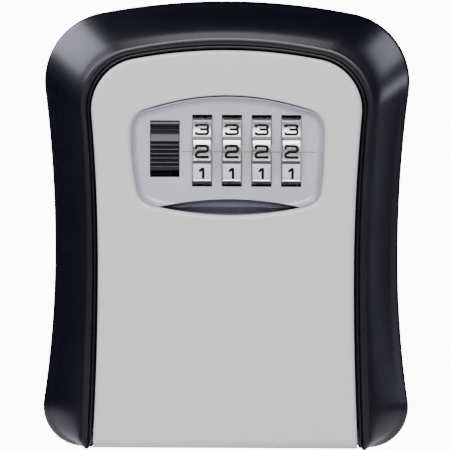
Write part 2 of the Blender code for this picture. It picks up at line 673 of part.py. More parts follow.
def make_wheel(name, x, look):
    """Ten-sided number wheel: flats between raised ridges, ten-sided bore, round counterbore."""
    profile = []
    ridge = math.asin(RIDGE_WIDTH / 2 / WHEEL_RADIUS)
    step = 2 * math.pi / DIGITS
    for k in range(DIGITS):
        middle = math.pi + step / 2 + k * step
        for share, drop in ((-1.35, WHEEL_FLAT_DROP), (-1.0, 0.0), (1.0, 0.0), (1.35, WHEEL_FLAT_DROP)):
            a = share * ridge
            r = WHEEL_RADIUS - drop
            profile.append((r * math.cos(middle + a), r * math.sin(middle + a)))
    half = WHEEL_WIDTH / 2
    rings = [[(x + dx, AXIS_Y + u * s, AXIS_Z + v * s) for u, v in profile]
             for dx, s in ((-half, 0.975), (-half + 0.25, 1.0), (half - 0.25, 1.0), (half, 0.975))]
    wheel = loft(name, rings, look)
    bore = [(AXIS_Y + u, AXIS_Z + v) for u, v in circle(SLEEVE_RADIUS + RUNNING_GAP + 0.05, DIGITS)]
    cut(wheel, prism_x("bore", bore, x - half - 1.0, x + half + 1.0))
    room = SLEEVE_RADIUS + 0.5
    cut(wheel, rod_x("counterbore", AXIS_Y, AXIS_Z, [(x - half - 1.0, room), (x - half + 1.6, room)], 30))
    tidy(wheel)
    return wheel


def make_cam(name, index, look):
    """Ten-sided sleeve that slides in its wheel, with a gated disc beside the wheel."""
    x = WHEEL_X[index]
    disc = x + WHEEL_WIDTH / 2 + CAM_GAP
    left = x - WHEEL_WIDTH / 2 - CAM_GAP if index else FORK_RIGHT_X + RUNNING_GAP
    last = index == WHEEL_COUNT - 1
    right = disc + CAM_THICK if last else x + WHEEL_PITCH - WHEEL_WIDTH / 2 - CAM_GAP - RUNNING_GAP
    sleeve = [(AXIS_Y + u, AXIS_Z + v) for u, v in circle(SLEEVE_RADIUS, DIGITS)]
    cam = prism_x(name, sleeve, left, right - 0.01, look)
    add(cam, rod_x("disc", AXIS_Y, AXIS_Z, [(disc, CAM_RADIUS), (disc + CAM_THICK, CAM_RADIUS)], 36))
    bore = SHAFT_RADIUS + RUNNING_GAP
    cut(cam, rod_x("bore", AXIS_Y, AXIS_Z, [(left - BEYOND, bore), (right + BEYOND, bore)], 20))
    cut(cam, block("gate", (disc - 0.2, disc + CAM_THICK + 0.2),
                   (AXIS_Y - GATE_WIDTH / 2, AXIS_Y + GATE_WIDTH / 2),
                   (AXIS_Z + CAM_RADIUS - GATE_DEPTH, AXIS_Z + CAM_RADIUS + 1.0)))
    tidy(cam)
    return cam


def make_shaft(steel):
    """Wheel shaft with a head outside one ear and a ring clip outside the other."""
    head = EAR_LEFT_X - 1.3
    end = EAR_RIGHT_X + EAR_THICK + 1.6
    groove = EAR_RIGHT_X + EAR_THICK + 0.3
    rod_x("dial_shaft", AXIS_Y, AXIS_Z, [
        (head, SHAFT_RADIUS + 0.6), (head + 0.9, SHAFT_RADIUS + 0.9), (head + 1.0, SHAFT_RADIUS),
        (groove, SHAFT_RADIUS), (groove, SHAFT_RADIUS - 0.4), (groove + 0.6, SHAFT_RADIUS - 0.4),
        (groove + 0.6, SHAFT_RADIUS), (end - 0.3, SHAFT_RADIUS), (end, SHAFT_RADIUS - 0.3)], 20, steel)
    clip = rod_x("shaft_clip", AXIS_Y, AXIS_Z, [(groove + 0.12, SHAFT_RADIUS + 0.6),
                                                (groove + 0.48, SHAFT_RADIUS + 0.6)], 20, steel)
    grip = SHAFT_RADIUS - 0.25
    cut(clip, rod_x("bore", AXIS_Y, AXIS_Z, [(groove - BEYOND, grip), (groove + 2.0, grip)], 20))
    cut(clip, block("mouth", (groove - BEYOND, groove + 2.0), (AXIS_Y - 1.1, AXIS_Y + 1.1),
                    (AXIS_Z - 4.0, AXIS_Z)))
    tidy(clip)


def make_detent_spring(look):
    """Leaf with one finger for each wheel, over the wheels."""
    root_z = AXIS_Z + WHEEL_RADIUS + 1.4
    tip_z = AXIS_Z + WHEEL_RADIUS + 0.15
    back, root, tip = AXIS_Y - 2.4, AXIS_Y - 0.4, AXIS_Y + 3.6
    outline = [(EAR_LEFT_X + 0.4, back), (EAR_RIGHT_X + 1.1, back), (EAR_RIGHT_X + 1.1, root)]
    for x in reversed(WHEEL_X):
        outline += [(x + 1.6, root), (x + 1.2, tip), (x - 1.2, tip), (x - 1.6, root)]
    outline.append((EAR_LEFT_X + 0.4, root))
    rings = []
    for lift in (0.0, LEAF_THICK):
        ring = []
        for x, y in outline:
            drop = root_z if y < tip - 0.1 else tip_z
            ring.append((x, y, drop + lift))
        rings.append(ring)
    return loft("detent_spring", rings, look)


def make_button(look):
    """Ribbed release button, with a hidden flange behind the bezel and a stem to the latch."""
    top = button_window()[1] - RUNNING_GAP
    bottom = top - BUTTON_HEIGHT
    crown_y = BEZEL_Y - BUTTON_PROUD
    profile = [(BEZEL_BACK_Y, bottom), (crown_y + 0.4, bottom)]
    z = bottom + 1.0
    for _ in range(BUTTON_RIBS):
        profile += [(crown_y, z), (crown_y, z + 0.45), (crown_y + 0.45, z + 0.6),
                    (crown_y + 0.45, z + BUTTON_RIB_PITCH - 0.1)]
        z += BUTTON_RIB_PITCH
    profile += [(crown_y + 0.1, z), (crown_y + 0.1, top - 3.0), (crown_y, top - 2.8), (crown_y, top - 2.4),
                (crown_y + 0.3, top - 2.2), (crown_y + 0.3, top - 0.9), (crown_y, top - 0.7),
                (crown_y, top - 0.2), (crown_y + 0.3, top), (BEZEL_BACK_Y, top)]
    half = BUTTON_WIDTH / 2
    button = prism_x("release_button", profile, BUTTON_X - half, BUTTON_X + half, look)
    back = SKIN_BACK_Y + SEAT_GAP + BEZEL_THICK + SEAT_GAP
    add(button, block("neck", (BUTTON_X - half + 0.3, BUTTON_X + half - 0.3),
                      (BEZEL_BACK_Y - 0.3, back + 0.3), (bottom + 0.3, top - 0.3)))
    add(button, block("flange", (BUTTON_X - half - 0.3, BUTTON_X + half - 1.8), (back, back + 1.2),
                      (bottom - 1.2, top + BUTTON_TRAVEL)))
    add(button, block("stem", (STEM_LEFT_X, BUTTON_X + 2.0), (back + 1.0, LATCH_Y - SEAT_GAP),
                      (AXIS_Z + 1.5, top - 0.6)))
    thread = SCREW_RADIUS + THREAD_GAP
    cut(button, rod_y("hole", BUTTON_SCREW_X, BUTTON_SCREW_Z, [
        (LATCH_Y - 5.0, thread), (LATCH_Y + BEYOND, thread)], 12))
    tidy(button)
    return button


def nose_top():
    """Height of the latch noses: they bite behind the lip at the top of the box."""
    crown_center = DOOR_TOP - DOOR_TOP_RADIUS
    reach = DOOR_TOP_RADIUS + DOOR_GAP - LEDGE
    return crown_center + math.sqrt(reach**2 - NOSE_X**2) + NOSE_BITE


def make_latch(look):
    """Steel plate behind the wheels: a finger for each cam gate, two arms with latch noses."""
    low, high = AXIS_Z + 1.0, AXIS_Z + 16.4
    plate = block("latch_plate", (SPRING_LEFT_X - SPRING_ROOM, SPRING_RIGHT_X + SPRING_ROOM),
                  (LATCH_Y, LATCH_BACK_Y), (low, high), look)
    bar_low = AXIS_Z + CAM_RADIUS + BUTTON_TRAVEL + 0.4
    tip_half = GATE_WIDTH / 2 - 0.25
    for x in WHEEL_X:
        start = x + WHEEL_WIDTH / 2 + CAM_GAP
        finger = [(AXIS_Y - tip_half, AXIS_Z + CAM_RADIUS + 0.25),
                  (AXIS_Y + tip_half, AXIS_Z + CAM_RADIUS + 0.25),
                  (AXIS_Y + tip_half, bar_low), (LATCH_Y + 0.4, bar_low), (LATCH_Y + 0.4, bar_low + 1.6),
                  (AXIS_Y - tip_half, bar_low + 1.6)]
        add(plate, prism_x("finger", finger, start, start + FINGER_THICK))
    nose_y = LEDGE_Y + LEDGE_THICKNESS + SEAT_GAP
    for side in (-1, 1):
        wide = (side * NOSE_X - NOSE_WIDTH / 2, side * NOSE_X + NOSE_WIDTH / 2)
        add(plate, block("arm", wide, (nose_y, LATCH_Y + 0.4), (high - LATCH_THICK, high - 0.02)))
        nose = [(nose_y, high - LATCH_THICK - 0.3), (nose_y + 1.4, high - LATCH_THICK - 0.3),
                (nose_y + 1.4, nose_top() - 0.7), (nose_y + 0.8, nose_top()), (nose_y, nose_top())]
        add(plate, prism_x("nose", nose, wide[0] + 0.02, wide[1] - 0.02))
    through = SCREW_RADIUS + THROUGH_GAP
    cut(plate, rod_y("hole", BUTTON_SCREW_X, BUTTON_SCREW_Z, [
        (LATCH_Y - BEYOND, through), (LATCH_Y + 3.0, through)], 12))
    tidy(plate)
    return plate


def coil(name, base, height, radius, wire, turns, look):
    """A compression spring standing on z, as a swept wire."""
    around, sides = 10, 5
    rings = []
    for i in range(turns * around + 1):
        a = 2 * math.pi * i / around
        z = base[2] + wire + (height - 2 * wire) * i / (turns * around)
        out = Vector((math.cos(a), math.sin(a), 0.0))
        ring = []
        for k in range(sides):
            b = 2 * math.pi * k / sides
            middle = Vector((base[0], base[1], z + wire * math.sin(b)))
            ring.append(tuple(middle + out * (radius + wire * math.cos(b))))
        rings.append(ring)
    return loft(name, rings, look)


def reset_coil(look):
    """Return spring of the sleeves, round the shaft between the last sleeve and the ear."""
    start = WHEEL_X[-1] + WHEEL_WIDTH / 2 + CAM_GAP + CAM_THICK + 0.15
    room = EAR_RIGHT_X - 0.15 - start
    spring = coil("reset_spring", (0.0, 0.0, 0.0), room, SHAFT_RADIUS + 0.75, 0.22, 3, look)
    turn = Matrix.Rotation(math.radians(90), 4, "Y")
    place = Matrix.Translation(in_frame(start, AXIS_Y, AXIS_Z))
    spring.data.transform(place @ turn @ Matrix.Translation(-in_frame(0.0, 0.0, 0.0)))
    return spring


def make_lever(look):
    """Code-change lever: knob through the cover, plate behind the latch, fork at the first sleeve."""
    slot = SHAFT_RADIUS + SEAT_GAP
    prong = 1.2
    flange_back = SKIN_BACK_Y + SEAT_GAP + BEZEL_THICK
    front = AXIS_Y - slot - min(prong, AXIS_Y - slot - flange_back - SEAT_GAP)
    fork = [
        (front, AXIS_Z + 2.5), (AXIS_Y - slot, AXIS_Z + 2.5), (AXIS_Y - slot, AXIS_Z - slot),
        (AXIS_Y + slot, AXIS_Z - slot), (AXIS_Y + slot, AXIS_Z + 2.5), (AXIS_Y + slot + prong, AXIS_Z + 2.5),
        (AXIS_Y + slot + prong, AXIS_Z - slot), (LEVER_Y + 0.4, AXIS_Z - slot), (LEVER_Y + 0.4, AXIS_Z - 5.5),
        (front, AXIS_Z - 5.5)]
    lever = prism_x("code_change_lever", fork, FORK_LEFT_X, FORK_RIGHT_X, look)
    add(lever, block("slide", (FORK_LEFT_X - 0.6, FORK_LEFT_X + 20.0), (LEVER_Y, LEVER_BACK_Y),
                     (AXIS_Z - 7.0, AXIS_Z - 1.5)))
    add(lever, block("knob", (-KNOB_HALF, KNOB_HALF), (LEVER_BACK_Y - 0.4, COVER_BACK_Y + 1.6),
                     (AXIS_Z - 6.0, AXIS_Z - 2.5)))
    tidy(lever)
    return lever


def make_cover(look):
    """Rear cover of the lock: a pan with four ears, a lever slot and notches for the latch arms."""
    outline = rounded(-COVER_HALF, COVER_HALF, COVER_BOTTOM, COVER_TOP, 5.0)
    inner = rounded(-COVER_HALF + COVER_WALL, COVER_HALF - COVER_WALL, COVER_BOTTOM + COVER_WALL,
                    COVER_TOP - COVER_WALL, 3.5)
    rings = [[(x, y, z) for x, z in ring] for y, ring in (
        (COVER_INNER_Y, inner), (COVER_FRONT_Y, inner),
        (COVER_FRONT_Y, outline), (COVER_BACK_Y - 1.0, outline))]
    soft = rounded(-COVER_HALF + 1.0, COVER_HALF - 1.0, COVER_BOTTOM + 1.0, COVER_TOP - 1.0, 4.0)
    rings.append([(x, COVER_BACK_Y, z) for x, z in soft])
    cover = loft("lock_cover", rings, look)
    ear_back = COVER_FRONT_Y + COVER_EAR_THICK
    web_half = COVER_EAR_RADIUS - 0.01
    through = SCREW_RADIUS + THROUGH_GAP
    for x in (-POST_X, POST_X):
        for z in (POST_LOW_Z, POST_HIGH_Z):
            span = (min(x, x * 0.9), max(x, x * 0.9))
            add(cover, rod_y("ear", x, z, [
                (COVER_FRONT_Y, COVER_EAR_RADIUS), (ear_back, COVER_EAR_RADIUS)], 16))
            add(cover, block("web", span, (COVER_FRONT_Y, ear_back), (z - web_half, z + web_half)))
            cut(cover, rod_y("hole", x, z, [
                (COVER_FRONT_Y - BEYOND, through), (ear_back + BEYOND, through)], 12))
    cut(cover, block("lever_slot", (-KNOB_HALF - SEAT_GAP, KNOB_HALF + CAM_SHIFT + SEAT_GAP),
                     (COVER_INNER_Y - BEYOND, COVER_BACK_Y + BEYOND), (AXIS_Z - 6.3, AXIS_Z - 2.2)))
    for side in (-1, 1):
        wide = NOSE_WIDTH / 2 + 0.5
        cut(cover, block("arm_notch", (side * NOSE_X - wide, side * NOSE_X + wide),
                         (COVER_FRONT_Y - 1.0, LEDGE_Y + LEDGE_THICKNESS + 2.4),
                         (COVER_TOP - COVER_WALL - 1.0, COVER_TOP + 1.0)))
    tidy(cover)
    return cover


def latch_springs(look):
    """Two springs under the latch plate, standing on the cover's lower wall."""
    base = COVER_BOTTOM + COVER_WALL + 0.2
    height = AXIS_Z + 1.0 - 0.2 - base
    for k, x in enumerate((SPRING_LEFT_X, SPRING_RIGHT_X)):
        foot = (x, LATCH_Y + LATCH_THICK / 2, base)
        coil(f"latch_spring_{k + 1}", foot, height, SPRING_RADIUS, WIRE_RADIUS, 6, look)


def main():
    for leftover in list(bpy.data.objects):
        bpy.data.objects.remove(leftover)
    black = material("black_coat", (0.012, 0.012, 0.02), 0.42)
    silver = material("door_paint", (0.56, 0.57, 0.58), 0.45, 0.3)
    satin = material("bezel_satin", (0.52, 0.54, 0.58), 0.35, 0.6)
    steel = material("plated_steel", (0.62, 0.62, 0.60), 0.3, 1.0)
    dark = material("dark_plastic", (0.02, 0.02, 0.03), 0.4)
    zinc = material("wheel_chrome", (0.75, 0.75, 0.75), 0.2, 1.0)
    nylon = material("cover_plastic", (0.03, 0.03, 0.035), 0.5)
    brass = material("cam_brass", (0.72, 0.53, 0.25), 0.35, 1.0)

    make_housing(black)
    make_hinge_pin(steel)
    make_key_hook(steel, steel)
    make_door(silver)
    make_bezel(satin)
    make_finger_cup(dark)
    make_shaft(steel)
    make_detent_spring(steel)
    make_cover(nylon)
    latch_springs(steel)
    reset_coil(steel)
    for k, x in enumerate(WHEEL_X):
        make_wheel(f"number_wheel_{k + 1}", x, zinc)
        make_cam(f"cam_sleeve_{k + 1}", k, brass)
    make_button(dark)
    make_latch(steel)
    make_lever(nylon)
    make_screw("button_screw", BUTTON_SCREW_X, BUTTON_SCREW_Z, LATCH_BACK_Y + 0.1, -1, 4.0, steel)
    bezel_seat = SKIN_BACK_Y + SEAT_GAP + BEZEL_THICK + 0.2
    for k, x in enumerate((-POST_X, POST_X)):
        make_screw(f"bezel_screw_{k + 1}", x, AXIS_Z, bezel_seat, -1, 3.4, steel)
    places = [(x, z) for z in (POST_LOW_Z, POST_HIGH_Z) for x in (-POST_X, POST_X)]
    for k, (x, z) in enumerate(places):
        make_screw(f"cover_screw_{k + 1}", x, z, COVER_FRONT_Y + 2.2, -1, 6.5, steel)


main()
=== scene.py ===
# %% [markdown]
# # A wall-mount key lock box
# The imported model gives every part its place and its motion. This notebook gives the parts their looks: the
# cast black body, the painted door, the sunk satin bezel, the number wheels and the ribbed button are built
# again as fine meshes around the same sizes, and what already has its true shape keeps it and gets a
# finish. Millimetres are the working unit, as in a workshop drawing: x to the right, y out of the wall
# towards it, and z up from the box's lower edge. One function turns them into the frame's metres.

# %% Load the frame
import math

import bmesh
import bpy
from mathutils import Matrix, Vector


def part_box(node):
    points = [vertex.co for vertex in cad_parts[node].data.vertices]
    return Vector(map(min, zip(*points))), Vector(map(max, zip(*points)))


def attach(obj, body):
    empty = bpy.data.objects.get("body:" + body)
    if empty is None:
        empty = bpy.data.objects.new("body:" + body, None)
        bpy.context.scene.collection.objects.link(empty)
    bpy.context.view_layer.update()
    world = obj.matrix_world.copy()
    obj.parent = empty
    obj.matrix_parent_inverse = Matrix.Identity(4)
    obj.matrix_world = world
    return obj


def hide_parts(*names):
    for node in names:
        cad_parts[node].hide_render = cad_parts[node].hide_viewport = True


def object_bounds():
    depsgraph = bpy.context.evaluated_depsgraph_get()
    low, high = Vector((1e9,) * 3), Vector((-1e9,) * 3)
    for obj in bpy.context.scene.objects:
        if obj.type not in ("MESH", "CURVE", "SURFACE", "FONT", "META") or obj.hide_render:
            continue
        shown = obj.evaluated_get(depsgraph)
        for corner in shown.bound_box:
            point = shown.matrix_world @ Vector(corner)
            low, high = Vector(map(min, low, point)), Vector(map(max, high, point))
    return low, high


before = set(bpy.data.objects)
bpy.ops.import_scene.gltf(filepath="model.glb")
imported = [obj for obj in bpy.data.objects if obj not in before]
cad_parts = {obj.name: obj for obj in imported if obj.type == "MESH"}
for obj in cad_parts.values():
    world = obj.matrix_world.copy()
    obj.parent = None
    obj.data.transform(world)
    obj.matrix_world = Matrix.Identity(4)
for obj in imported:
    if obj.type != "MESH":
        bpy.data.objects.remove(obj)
cad_bounds = [list(corner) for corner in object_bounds()]
MM = 0.001
BASE_Z = cad_bounds[0][2]
box_width = (cad_bounds[1][0] - cad_bounds[0][0]) / MM
box_height = (cad_bounds[1][2] - cad_bounds[0][2]) / MM
print(f"the box is {box_width:.1f} mm wide and {box_height:.1f} mm high")

# %% [markdown]
# ## Turning points into closed shapes
# Almost every part here is a loft: equal rings of points, joined ring to ring and capped at both ends. A
# loft gives exact control of an edge radius, which a Bevel modifier would only guess at. Openings are then
# cut with Booleans, and a Weighted Normal step keeps large flat faces looking flat beside their rounded
# edges.

# %% Mesh helpers
pieces = {}


def at(x, y, z):
    """Millimetres on the drawing to metres in the frame."""
    return Vector((x * MM, y * MM, z * MM + BASE_Z))


def node_span(node):
    """A node's lowest and highest corner, back in drawing millimetres."""
    low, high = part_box(node)
    return [tuple((c[0] / MM, c[1] / MM, (c[2] - BASE_Z) / MM)) for c in (low, high)]


def solid(name, points, faces):
    """A mesh object with outward faces."""
    mesh = bpy.data.meshes.new(name)
    mesh.from_pydata([at(*p) for p in points], [], faces)
    shape = bmesh.new()
    shape.from_mesh(mesh)
    bmesh.ops.recalc_face_normals(shape, faces=shape.faces)
    shape.to_mesh(mesh)
    shape.free()
    made = bpy.data.objects.new(name, mesh)
    bpy.context.scene.collection.objects.link(made)
    return made


def loft(name, rings):
    """A closed body through equal rings of points."""
    count = len(rings[0])
    points = [p for ring in rings for p in ring]
    faces = []
    for k in range(len(rings) - 1):
        for i in range(count):
            j = (i + 1) % count
            faces.append((k * count + i, k * count + j, (k + 1) * count + j, (k + 1) * count + i))
    faces.append(tuple(range(count)))
    faces.append(tuple((len(rings) - 1) * count + i for i in range(count)))
    return solid(name, points, faces)


def prism_y(name, outline, low, high):
    return loft(name, [[(x, y, z) for x, z in outline] for y in (low, high)])


def prism_x(name, outline, low, high, soft=0.0):
    """A (y, z) outline pushed along x, its two ends drawn in by soft."""
    if not soft:
        return loft(name, [[(x, y, z) for y, z in outline] for x in (low, high)])
    small = grown(outline, [-soft] * len(outline))
    rings = [(low, small), (low + soft, outline), (high - soft, outline), (high, small)]
    return loft(name, [[(x, y, z) for y, z in ring] for x, ring in rings])


def block(name, x, y, z):
    return prism_y(name, [(x[0], z[0]), (x[1], z[0]), (x[1], z[1]), (x[0], z[1])], *y)


def circle(radius, steps):
    return [(radius * math.cos(2 * math.pi * i / steps), radius * math.sin(2 * math.pi * i / steps))
            for i in range(steps)]


def rod_x(name, y, z, profile, steps=48):
    return loft(name, [[(x, y + u, z + v) for u, v in circle(radius, steps)] for x, radius in profile])


def rod_y(name, x, z, profile, steps=32):
    return loft(name, [[(x + u, y, z + v) for u, v in circle(radius, steps)] for y, radius in profile])


def combine(target, tool, operation):
    """One exact Boolean, applied at once."""
    step = target.modifiers.new(operation, "BOOLEAN")
    step.operation = operation
    step.solver = "EXACT"
    step.object = tool
    graph = bpy.context.evaluated_depsgraph_get()
    result = bpy.data.meshes.new_from_object(target.evaluated_get(graph))
    target.modifiers.remove(step)
    target.data = result
    bpy.data.objects.remove(tool)


def cut(target, *tools):
    for tool in tools:
        combine(target, tool, "DIFFERENCE")


def add(target, *tools):
    for tool in tools:
        combine(target, tool, "UNION")


def finish_edges(piece, angle=35, bevel=0.0):
    """Clean shading, with a fine bevel on sharp edges where one is asked for."""
    shape = bmesh.new()
    shape.from_mesh(piece.data)
    bmesh.ops.remove_doubles(shape, verts=shape.verts, dist=2e-6)
    shape.to_mesh(piece.data)
    shape.free()
    piece.data.shade_smooth()
    piece.data.set_sharp_from_angle(angle=math.radians(angle))
    if bevel:
        step = piece.modifiers.new("fine edge", "BEVEL")
        step.width = bevel * MM
        step.segments = 2
        step.limit_method = "ANGLE"
        step.angle_limit = math.radians(40)
        step.harden_normals = True
    keep = piece.modifiers.new("flat faces", "WEIGHTED_NORMAL")
    keep.keep_sharp = True
    return piece


# %% [markdown]
# ## Sizes of the real box
# The sizes are those of the part: a door 12.8 mm inside the body's edge, wheels 20 mm across, a bezel 2.6
# mm below the door's face. What the frame can tell is read from it: the wheel axis is found from the
# wheel's own box, so the fine wheels turn exactly where the model's wheels turn. BEYOND is how far a
# cutting body reaches past its target.

# %% Driving sizes
HALF = box_width / 2
HEIGHT = box_height
FACE_Y = node_span("door_panel")[0][1]
DOOR_BACK_Y = node_span("door_panel")[1][1]
CREST_Y = node_span("housing")[0][1]
LEDGE_Y = DOOR_BACK_Y + 0.3
SLOPE_DEPTH = 10.0
DOOR_GAP = 0.7
LEDGE = 1.4
LEDGE_THICKNESS = 2.3
WALL = 3.2
SKIN = 2.6
FLOOR = 3.0
FOOT_OPEN = 2.4
SWING_ROOM = 6.0
DOOR_TOP = HEIGHT - 13.5
DOOR_HALF = HALF - 12.8
DOOR_BOTTOM = 0.3
DOOR_SKIN = 2.3
DOOR_FLANGE = 2.0
EDGE_RADIUS = 1.1
FOOT_ROLL = 2.4
SEAT_GAP = 0.3
PIN_BORE = 1.4
THREAD_BORE = 1.15
THROUGH_BORE = 1.2
WHEEL_RADIUS = 10.0
DIGITS = 10
BUTTON_HEIGHT = 12.7
BUTTON_TRAVEL = 1.5
BEYOND = 1.0
wheel_low, wheel_high = node_span("number_wheel_1")
AXIS_Z = (wheel_low[2] + wheel_high[2]) / 2
AXIS_Y = (wheel_low[1] + wheel_high[1]) / 2
HINGE_Y = sum(corner[1] for corner in node_span("hinge_pin")) / 2
HINGE_Z = sum(corner[2] for corner in node_span("hinge_pin")) / 2
BEZEL_Y = FACE_Y + 2.6
SKIN_BACK_Y = FACE_Y + DOOR_SKIN
print(f"door face at y {FACE_Y:.1f}, wheel axis at y {AXIS_Y:.2f}, z {AXIS_Z:.2f} mm")

# %% [markdown]
# ## The outline curves
# The body's edge is a run of tangent arcs: a round foot, a side drawn in to a waist, a round shoulder and a
# slightly crowned top. Each arc's centre follows from the tangency, so the curve has no kinks that a
# highlight would show. The door repeats the same family of curves with its own radii.


# %% Outlines of the body and the door
def arc(center, radius, start, end, steps):
    return [(center[0] + radius * math.cos(start + (end - start) * i / steps),
             center[1] + radius * math.sin(start + (end - start) * i / steps)) for i in range(steps)]


def side_arc(waist, waist_z, corner, corner_radius):
    """Centre and radius of the arc that leaves the waist and meets a corner circle."""
    reach, rise = waist - corner[0], waist_z - corner[1]
    radius = (reach**2 + rise**2 - corner_radius**2) / (2 * (corner_radius - reach))
    return (waist + radius, waist_z), radius


def upper_half(waist, waist_z, top, top_radius, corner_x, corner_radius, steps):
    corner = (corner_x, top - top_radius + math.sqrt((top_radius - corner_radius) ** 2 - corner_x**2))
    side, side_radius = side_arc(waist, waist_z, corner, corner_radius)
    lean = math.atan2(corner[1] - side[1], corner[0] - side[0])
    middle = (0.0, top - top_radius)
    crown = math.atan2(corner[1] - middle[1], corner[0])
    points = arc(side, side_radius, math.pi, lean, steps)
    points += arc(corner, corner_radius, lean - math.pi, crown, 2 * steps)
    return points + arc(middle, top_radius, crown, math.pi / 2, steps) + [(0.0, top)]


def whole(right_half):
    return right_half + [(-x, z) for x, z in reversed(right_half[:-1])]


STEPS = 12
WAIST, WAIST_Z = HALF - 2.9, 50.0
FOOT_RADIUS = 10.5
SHOULDER_RADIUS = 18.0
CROWN_RADIUS = 170.0
DOOR_WAIST, DOOR_WAIST_Z = DOOR_HALF - 1.9, 45.0
DOOR_FOOT_FLARE = 1.2
DOOR_FOOT_ZONE = 12.0
DOOR_SHOULDER_RADIUS = 13.0
DOOR_CROWN_RADIUS = 125.0


def body_outline():
    foot = (HALF - FOOT_RADIUS, FOOT_RADIUS)
    side, side_radius = side_arc(WAIST, WAIST_Z, foot, FOOT_RADIUS)
    lean = math.atan2(foot[1] - side[1], foot[0] - side[0])
    points = arc(foot, FOOT_RADIUS, -math.pi / 2, lean + math.pi, 2 * STEPS)
    points += arc(side, side_radius, lean % (2 * math.pi), math.pi, STEPS)
    points += upper_half(WAIST, WAIST_Z, HEIGHT, CROWN_RADIUS, HALF - SHOULDER_RADIUS, SHOULDER_RADIUS, STEPS)
    return whole(points)


def door_side(z, grow):
    """Half width of the door below its waist."""
    return DOOR_WAIST + DOOR_FOOT_FLARE * ((DOOR_WAIST_Z - z) / DOOR_WAIST_Z) ** 2 + grow


def door_outline(grow=0.0, low=0.0, split=True):
    """The door's edge from its right foot to its left foot. Split gives it the body's count of points."""
    if split:
        rest = DOOR_WAIST_Z - DOOR_FOOT_ZONE
        heights = [DOOR_FOOT_ZONE * i / (2 * STEPS) for i in range(2 * STEPS)]
        heights += [DOOR_FOOT_ZONE + rest * i / STEPS for i in range(STEPS)]
    else:
        heights = [low + (DOOR_WAIST_Z - low) * i / (2 * STEPS) for i in range(2 * STEPS)]
    points = [(door_side(z, grow), z) for z in heights]
    points += upper_half(DOOR_WAIST + grow, DOOR_WAIST_Z, DOOR_TOP + grow, DOOR_CROWN_RADIUS + grow,
                         DOOR_HALF - DOOR_SHOULDER_RADIUS, DOOR_SHOULDER_RADIUS + grow, STEPS)
    return whole(points)


def grown(points, amounts):
    """A closed outline moved outward at each point by its own amount."""
    count = len(points)
    area = sum(points[i][0] * points[(i + 1) % count][1] - points[(i + 1) % count][0] * points[i][1]
               for i in range(count))
    turn = 1 if area > 0 else -1
    moved = []
    for i, (x, z) in enumerate(points):
        before, after = points[i - 1], points[(i + 1) % count]
        along = Vector((after[0] - before[0], after[1] - before[1]))
        along.normalize()
        moved.append((x + turn * along.y * amounts[i], z - turn * along.x * amounts[i]))
    return moved


def curve(start, middle, end, steps):
    points = []
    for i in range(steps):
        t = i / steps
        a, b, c = (1 - t) ** 2, 2 * t * (1 - t), t**2
        points.append((a * start[0] + b * middle[0] + c * end[0], a * start[1] + b * middle[1] + c * end[1]))
    return points


print("body outline:", len(body_outline()), "points; door outline:", len(door_outline()), "points")

# %% [markdown]
# ## The cast body
# The body is one hollow casting: an arch round the door, a box behind it and webs between the two. The arch
# is swept from foot to foot. Its section, read from the door outward, has a thin lip, a groove, a narrow
# crest that faces the front, a broad slope that falls away to the side, and a tight edge into the straight
# outer wall. A sweep is used because the section stays the same while its width changes, and each ring can
# be squeezed to fit.


# %% Section of the arch
def lerp(p, q, share):
    return (p[0] + (q[0] - p[0]) * share, p[1] + (q[1] - p[1]) * share)


RIM = 1.8
CREST_OUT = 3.0
SECTION_ROOM = 7.0
CREST = ((CREST_OUT, 0.38), (2.75, 0.14), (2.45, 0.03), (1.8, 0.0), (1.25, 0.03))
GROOVE = ((1.02, 0.16), (0.95, 0.34), (0.88, 0.62), (0.76, 0.78), (0.62, 0.72))
LIP = ((0.50, 0.62), (0.36, 0.60), (0.14, 0.70), (0.0, 0.98))


def arch_section(width):
    """(distance from the door opening, y) pairs from the back of the outer wall to the opening's edge.

    CREST, GROOVE and LIP give the distance and the depth below the crest. Where the arch is narrow, as at the
    feet, the whole section is squeezed.
    """
    squeeze = min(1.0, width / SECTION_ROOM)
    wall_end = CREST_Y + SLOPE_DEPTH + 0.6
    slope_low, slope_top = wall_end - 2.5, CREST_Y + 0.38
    inner, outer = CREST_OUT * squeeze, width - RIM * squeeze
    pairs = [(width, 0.0), (width, -0.4), (width, wall_end)]
    for turn in (0.25, 0.5, 0.75, 1.0):
        pairs.append((width - RIM * squeeze * turn**1.9, wall_end + (slope_low - wall_end) * turn))
    for k in range(1, 9):
        u = 1 - k / 9
        pairs.append((inner + (outer - inner) * u, slope_top + (slope_low - slope_top) * u**1.28))
    pairs += [(distance * squeeze, CREST_Y + drop) for distance, drop in CREST + GROOVE + LIP]
    return pairs


def arch_rings():
    """The arch's cross-sections, one for each point of the outline."""
    rings = []
    flare_top = 2.6
    for far, near, deep in zip(body_outline(), door_outline(DOOR_GAP), door_outline(DOOR_GAP - LEDGE)):
        if near[1] < flare_top:
            flare = 0.62 * (1 - near[1] / flare_top) ** 1.4
            near = (near[0] + math.copysign(flare, near[0]), near[1])
        width = math.dist(far, near)
        section = [(y, lerp(near, far, t / width)) for t, y in arch_section(width)]
        section += [(LEDGE_Y, near), (LEDGE_Y, deep), (0.0, deep)]
        rings.append([(x, y, z) for y, (x, z) in section])
    return rings


body = loft("body_casting", arch_rings())
print("arch:", len(body.data.polygons), "faces")

# %% [markdown]
# ### Floor, hollows and holes
# The floor and the bottom wall are joined on, then the hollows behind the arch, the latch pockets, the pin
# holes and the four screw holes are cut. The hollows are what a foundry leaves to keep every wall about 3
# mm thick.


# %% Cut the body
def midway(points):
    return [lerp(p, q, 0.5) for p, q in zip(points, points[1:])]


